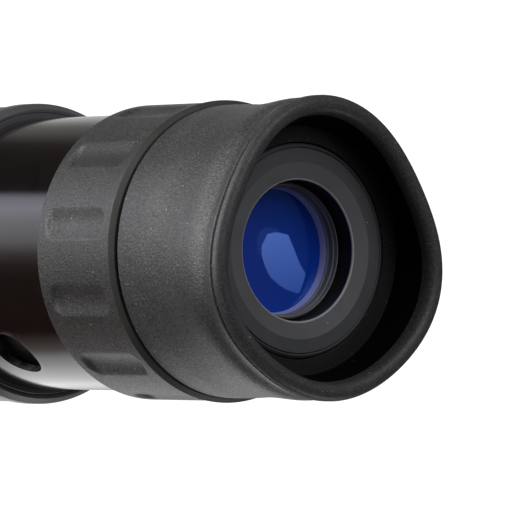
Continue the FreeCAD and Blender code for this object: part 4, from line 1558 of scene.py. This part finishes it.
    def own_axes(self, graph: Graph) -> bpy.types.NodeOutputs:
        """Give the point on the surface toward the camera's side, across it and up.

        Args:
            graph: Graph that reads it.

        Returns:
            The three parts.
        """
        inputs = {"Vector": graph.place(), "Angle": -math.radians(self.near_angle)}
        turned = graph.add("ShaderNodeVectorRotate", inputs, rotation_type="Z_AXIS")
        return graph.add("ShaderNodeSeparateXYZ", {0: turned.outputs[0]}).outputs

    def card(self) -> None:
        """Lay the ring-shaped card that the gloss tube mirrors: a soft panel between dark flags."""
        start = math.radians(self.near_angle - 180.0)
        spots = [polar(radius, start + FULL_TURN * i / self.card_steps, self.card_z)
                 for i in range(self.card_steps + 1) for radius in (self.card_inner, self.card_outer)]
        faces = [(2 * i, 2 * i + 1, 2 * i + 3, 2 * i + 2) for i in range(self.card_steps)]
        material, graph = new_material("mirror_card")
        parts = self.own_axes(graph)
        share = graph.remap(graph.math("ARCTAN2", parts[1], parts[0]), -math.pi, math.pi)
        ramp = graph.add("ShaderNodeValToRGB", {0: share})
        elements = ramp.color_ramp.elements
        while len(elements) < len(self.card_stops):
            elements.new(0.5)
        for element, (degrees, colour) in zip(elements, self.card_stops):
            element.position = (degrees + 180.0) / 360.0
            element.color = opaque(colour)
        inputs = {"Color": ramp.outputs[0], "Strength": self.card_level}
        finished(graph, graph.add("ShaderNodeEmission", inputs))
        self.hang(make_piece("mirror_card", spots, faces), material, "camera", "diffuse", "shadow",
                  "transmission")

    def panel(self, panel: Panel) -> None:
        """Hang a soft panel that the eye lens mirrors as a pale patch.

        Args:
            panel: Its corners and level.
        """
        middle = Vector((0, 0, self.panel_z))
        spots = [tuple(self.direction(*corner) * self.panel_away + middle) for corner in panel.corners]
        material, graph = new_material(panel.name)
        fall = graph.remap(self.own_axes(graph)[1], 0.02, -0.05, panel.level, 0.45 * panel.level)
        inputs = {"Color": opaque(self.panel_colour), "Strength": fall}
        finished(graph, graph.add("ShaderNodeEmission", inputs))
        thing = make_piece(panel.name, spots, [tuple(range(len(spots)))])
        self.hang(thing, material, "camera", "shadow")

    def build(self) -> None:
        """Set up the whole studio."""
        bpy.context.scene.view_settings.view_transform = "Standard"
        self.camera()
        self.floor()
        self.world()
        self.card()
        for panel in self.panels:
            self.panel(panel)
        for lamp in self.lamps:
            self.lamp(lamp)
        log.info("studio is set")


def main() -> None:
    """Build the eyepiece's pieces in order, then the studio."""
    logging.basicConfig(level=logging.INFO, format="%(name)s: %(message)s")
    for part in (Nosepiece(), Housing(), EyeEnd(), ZoomDial(), ZoomGrip(), EyeGroup(), FieldGroup(),
                 Eyecup(), Studio()):
        part.build()


if __name__ == "__main__":
    main()
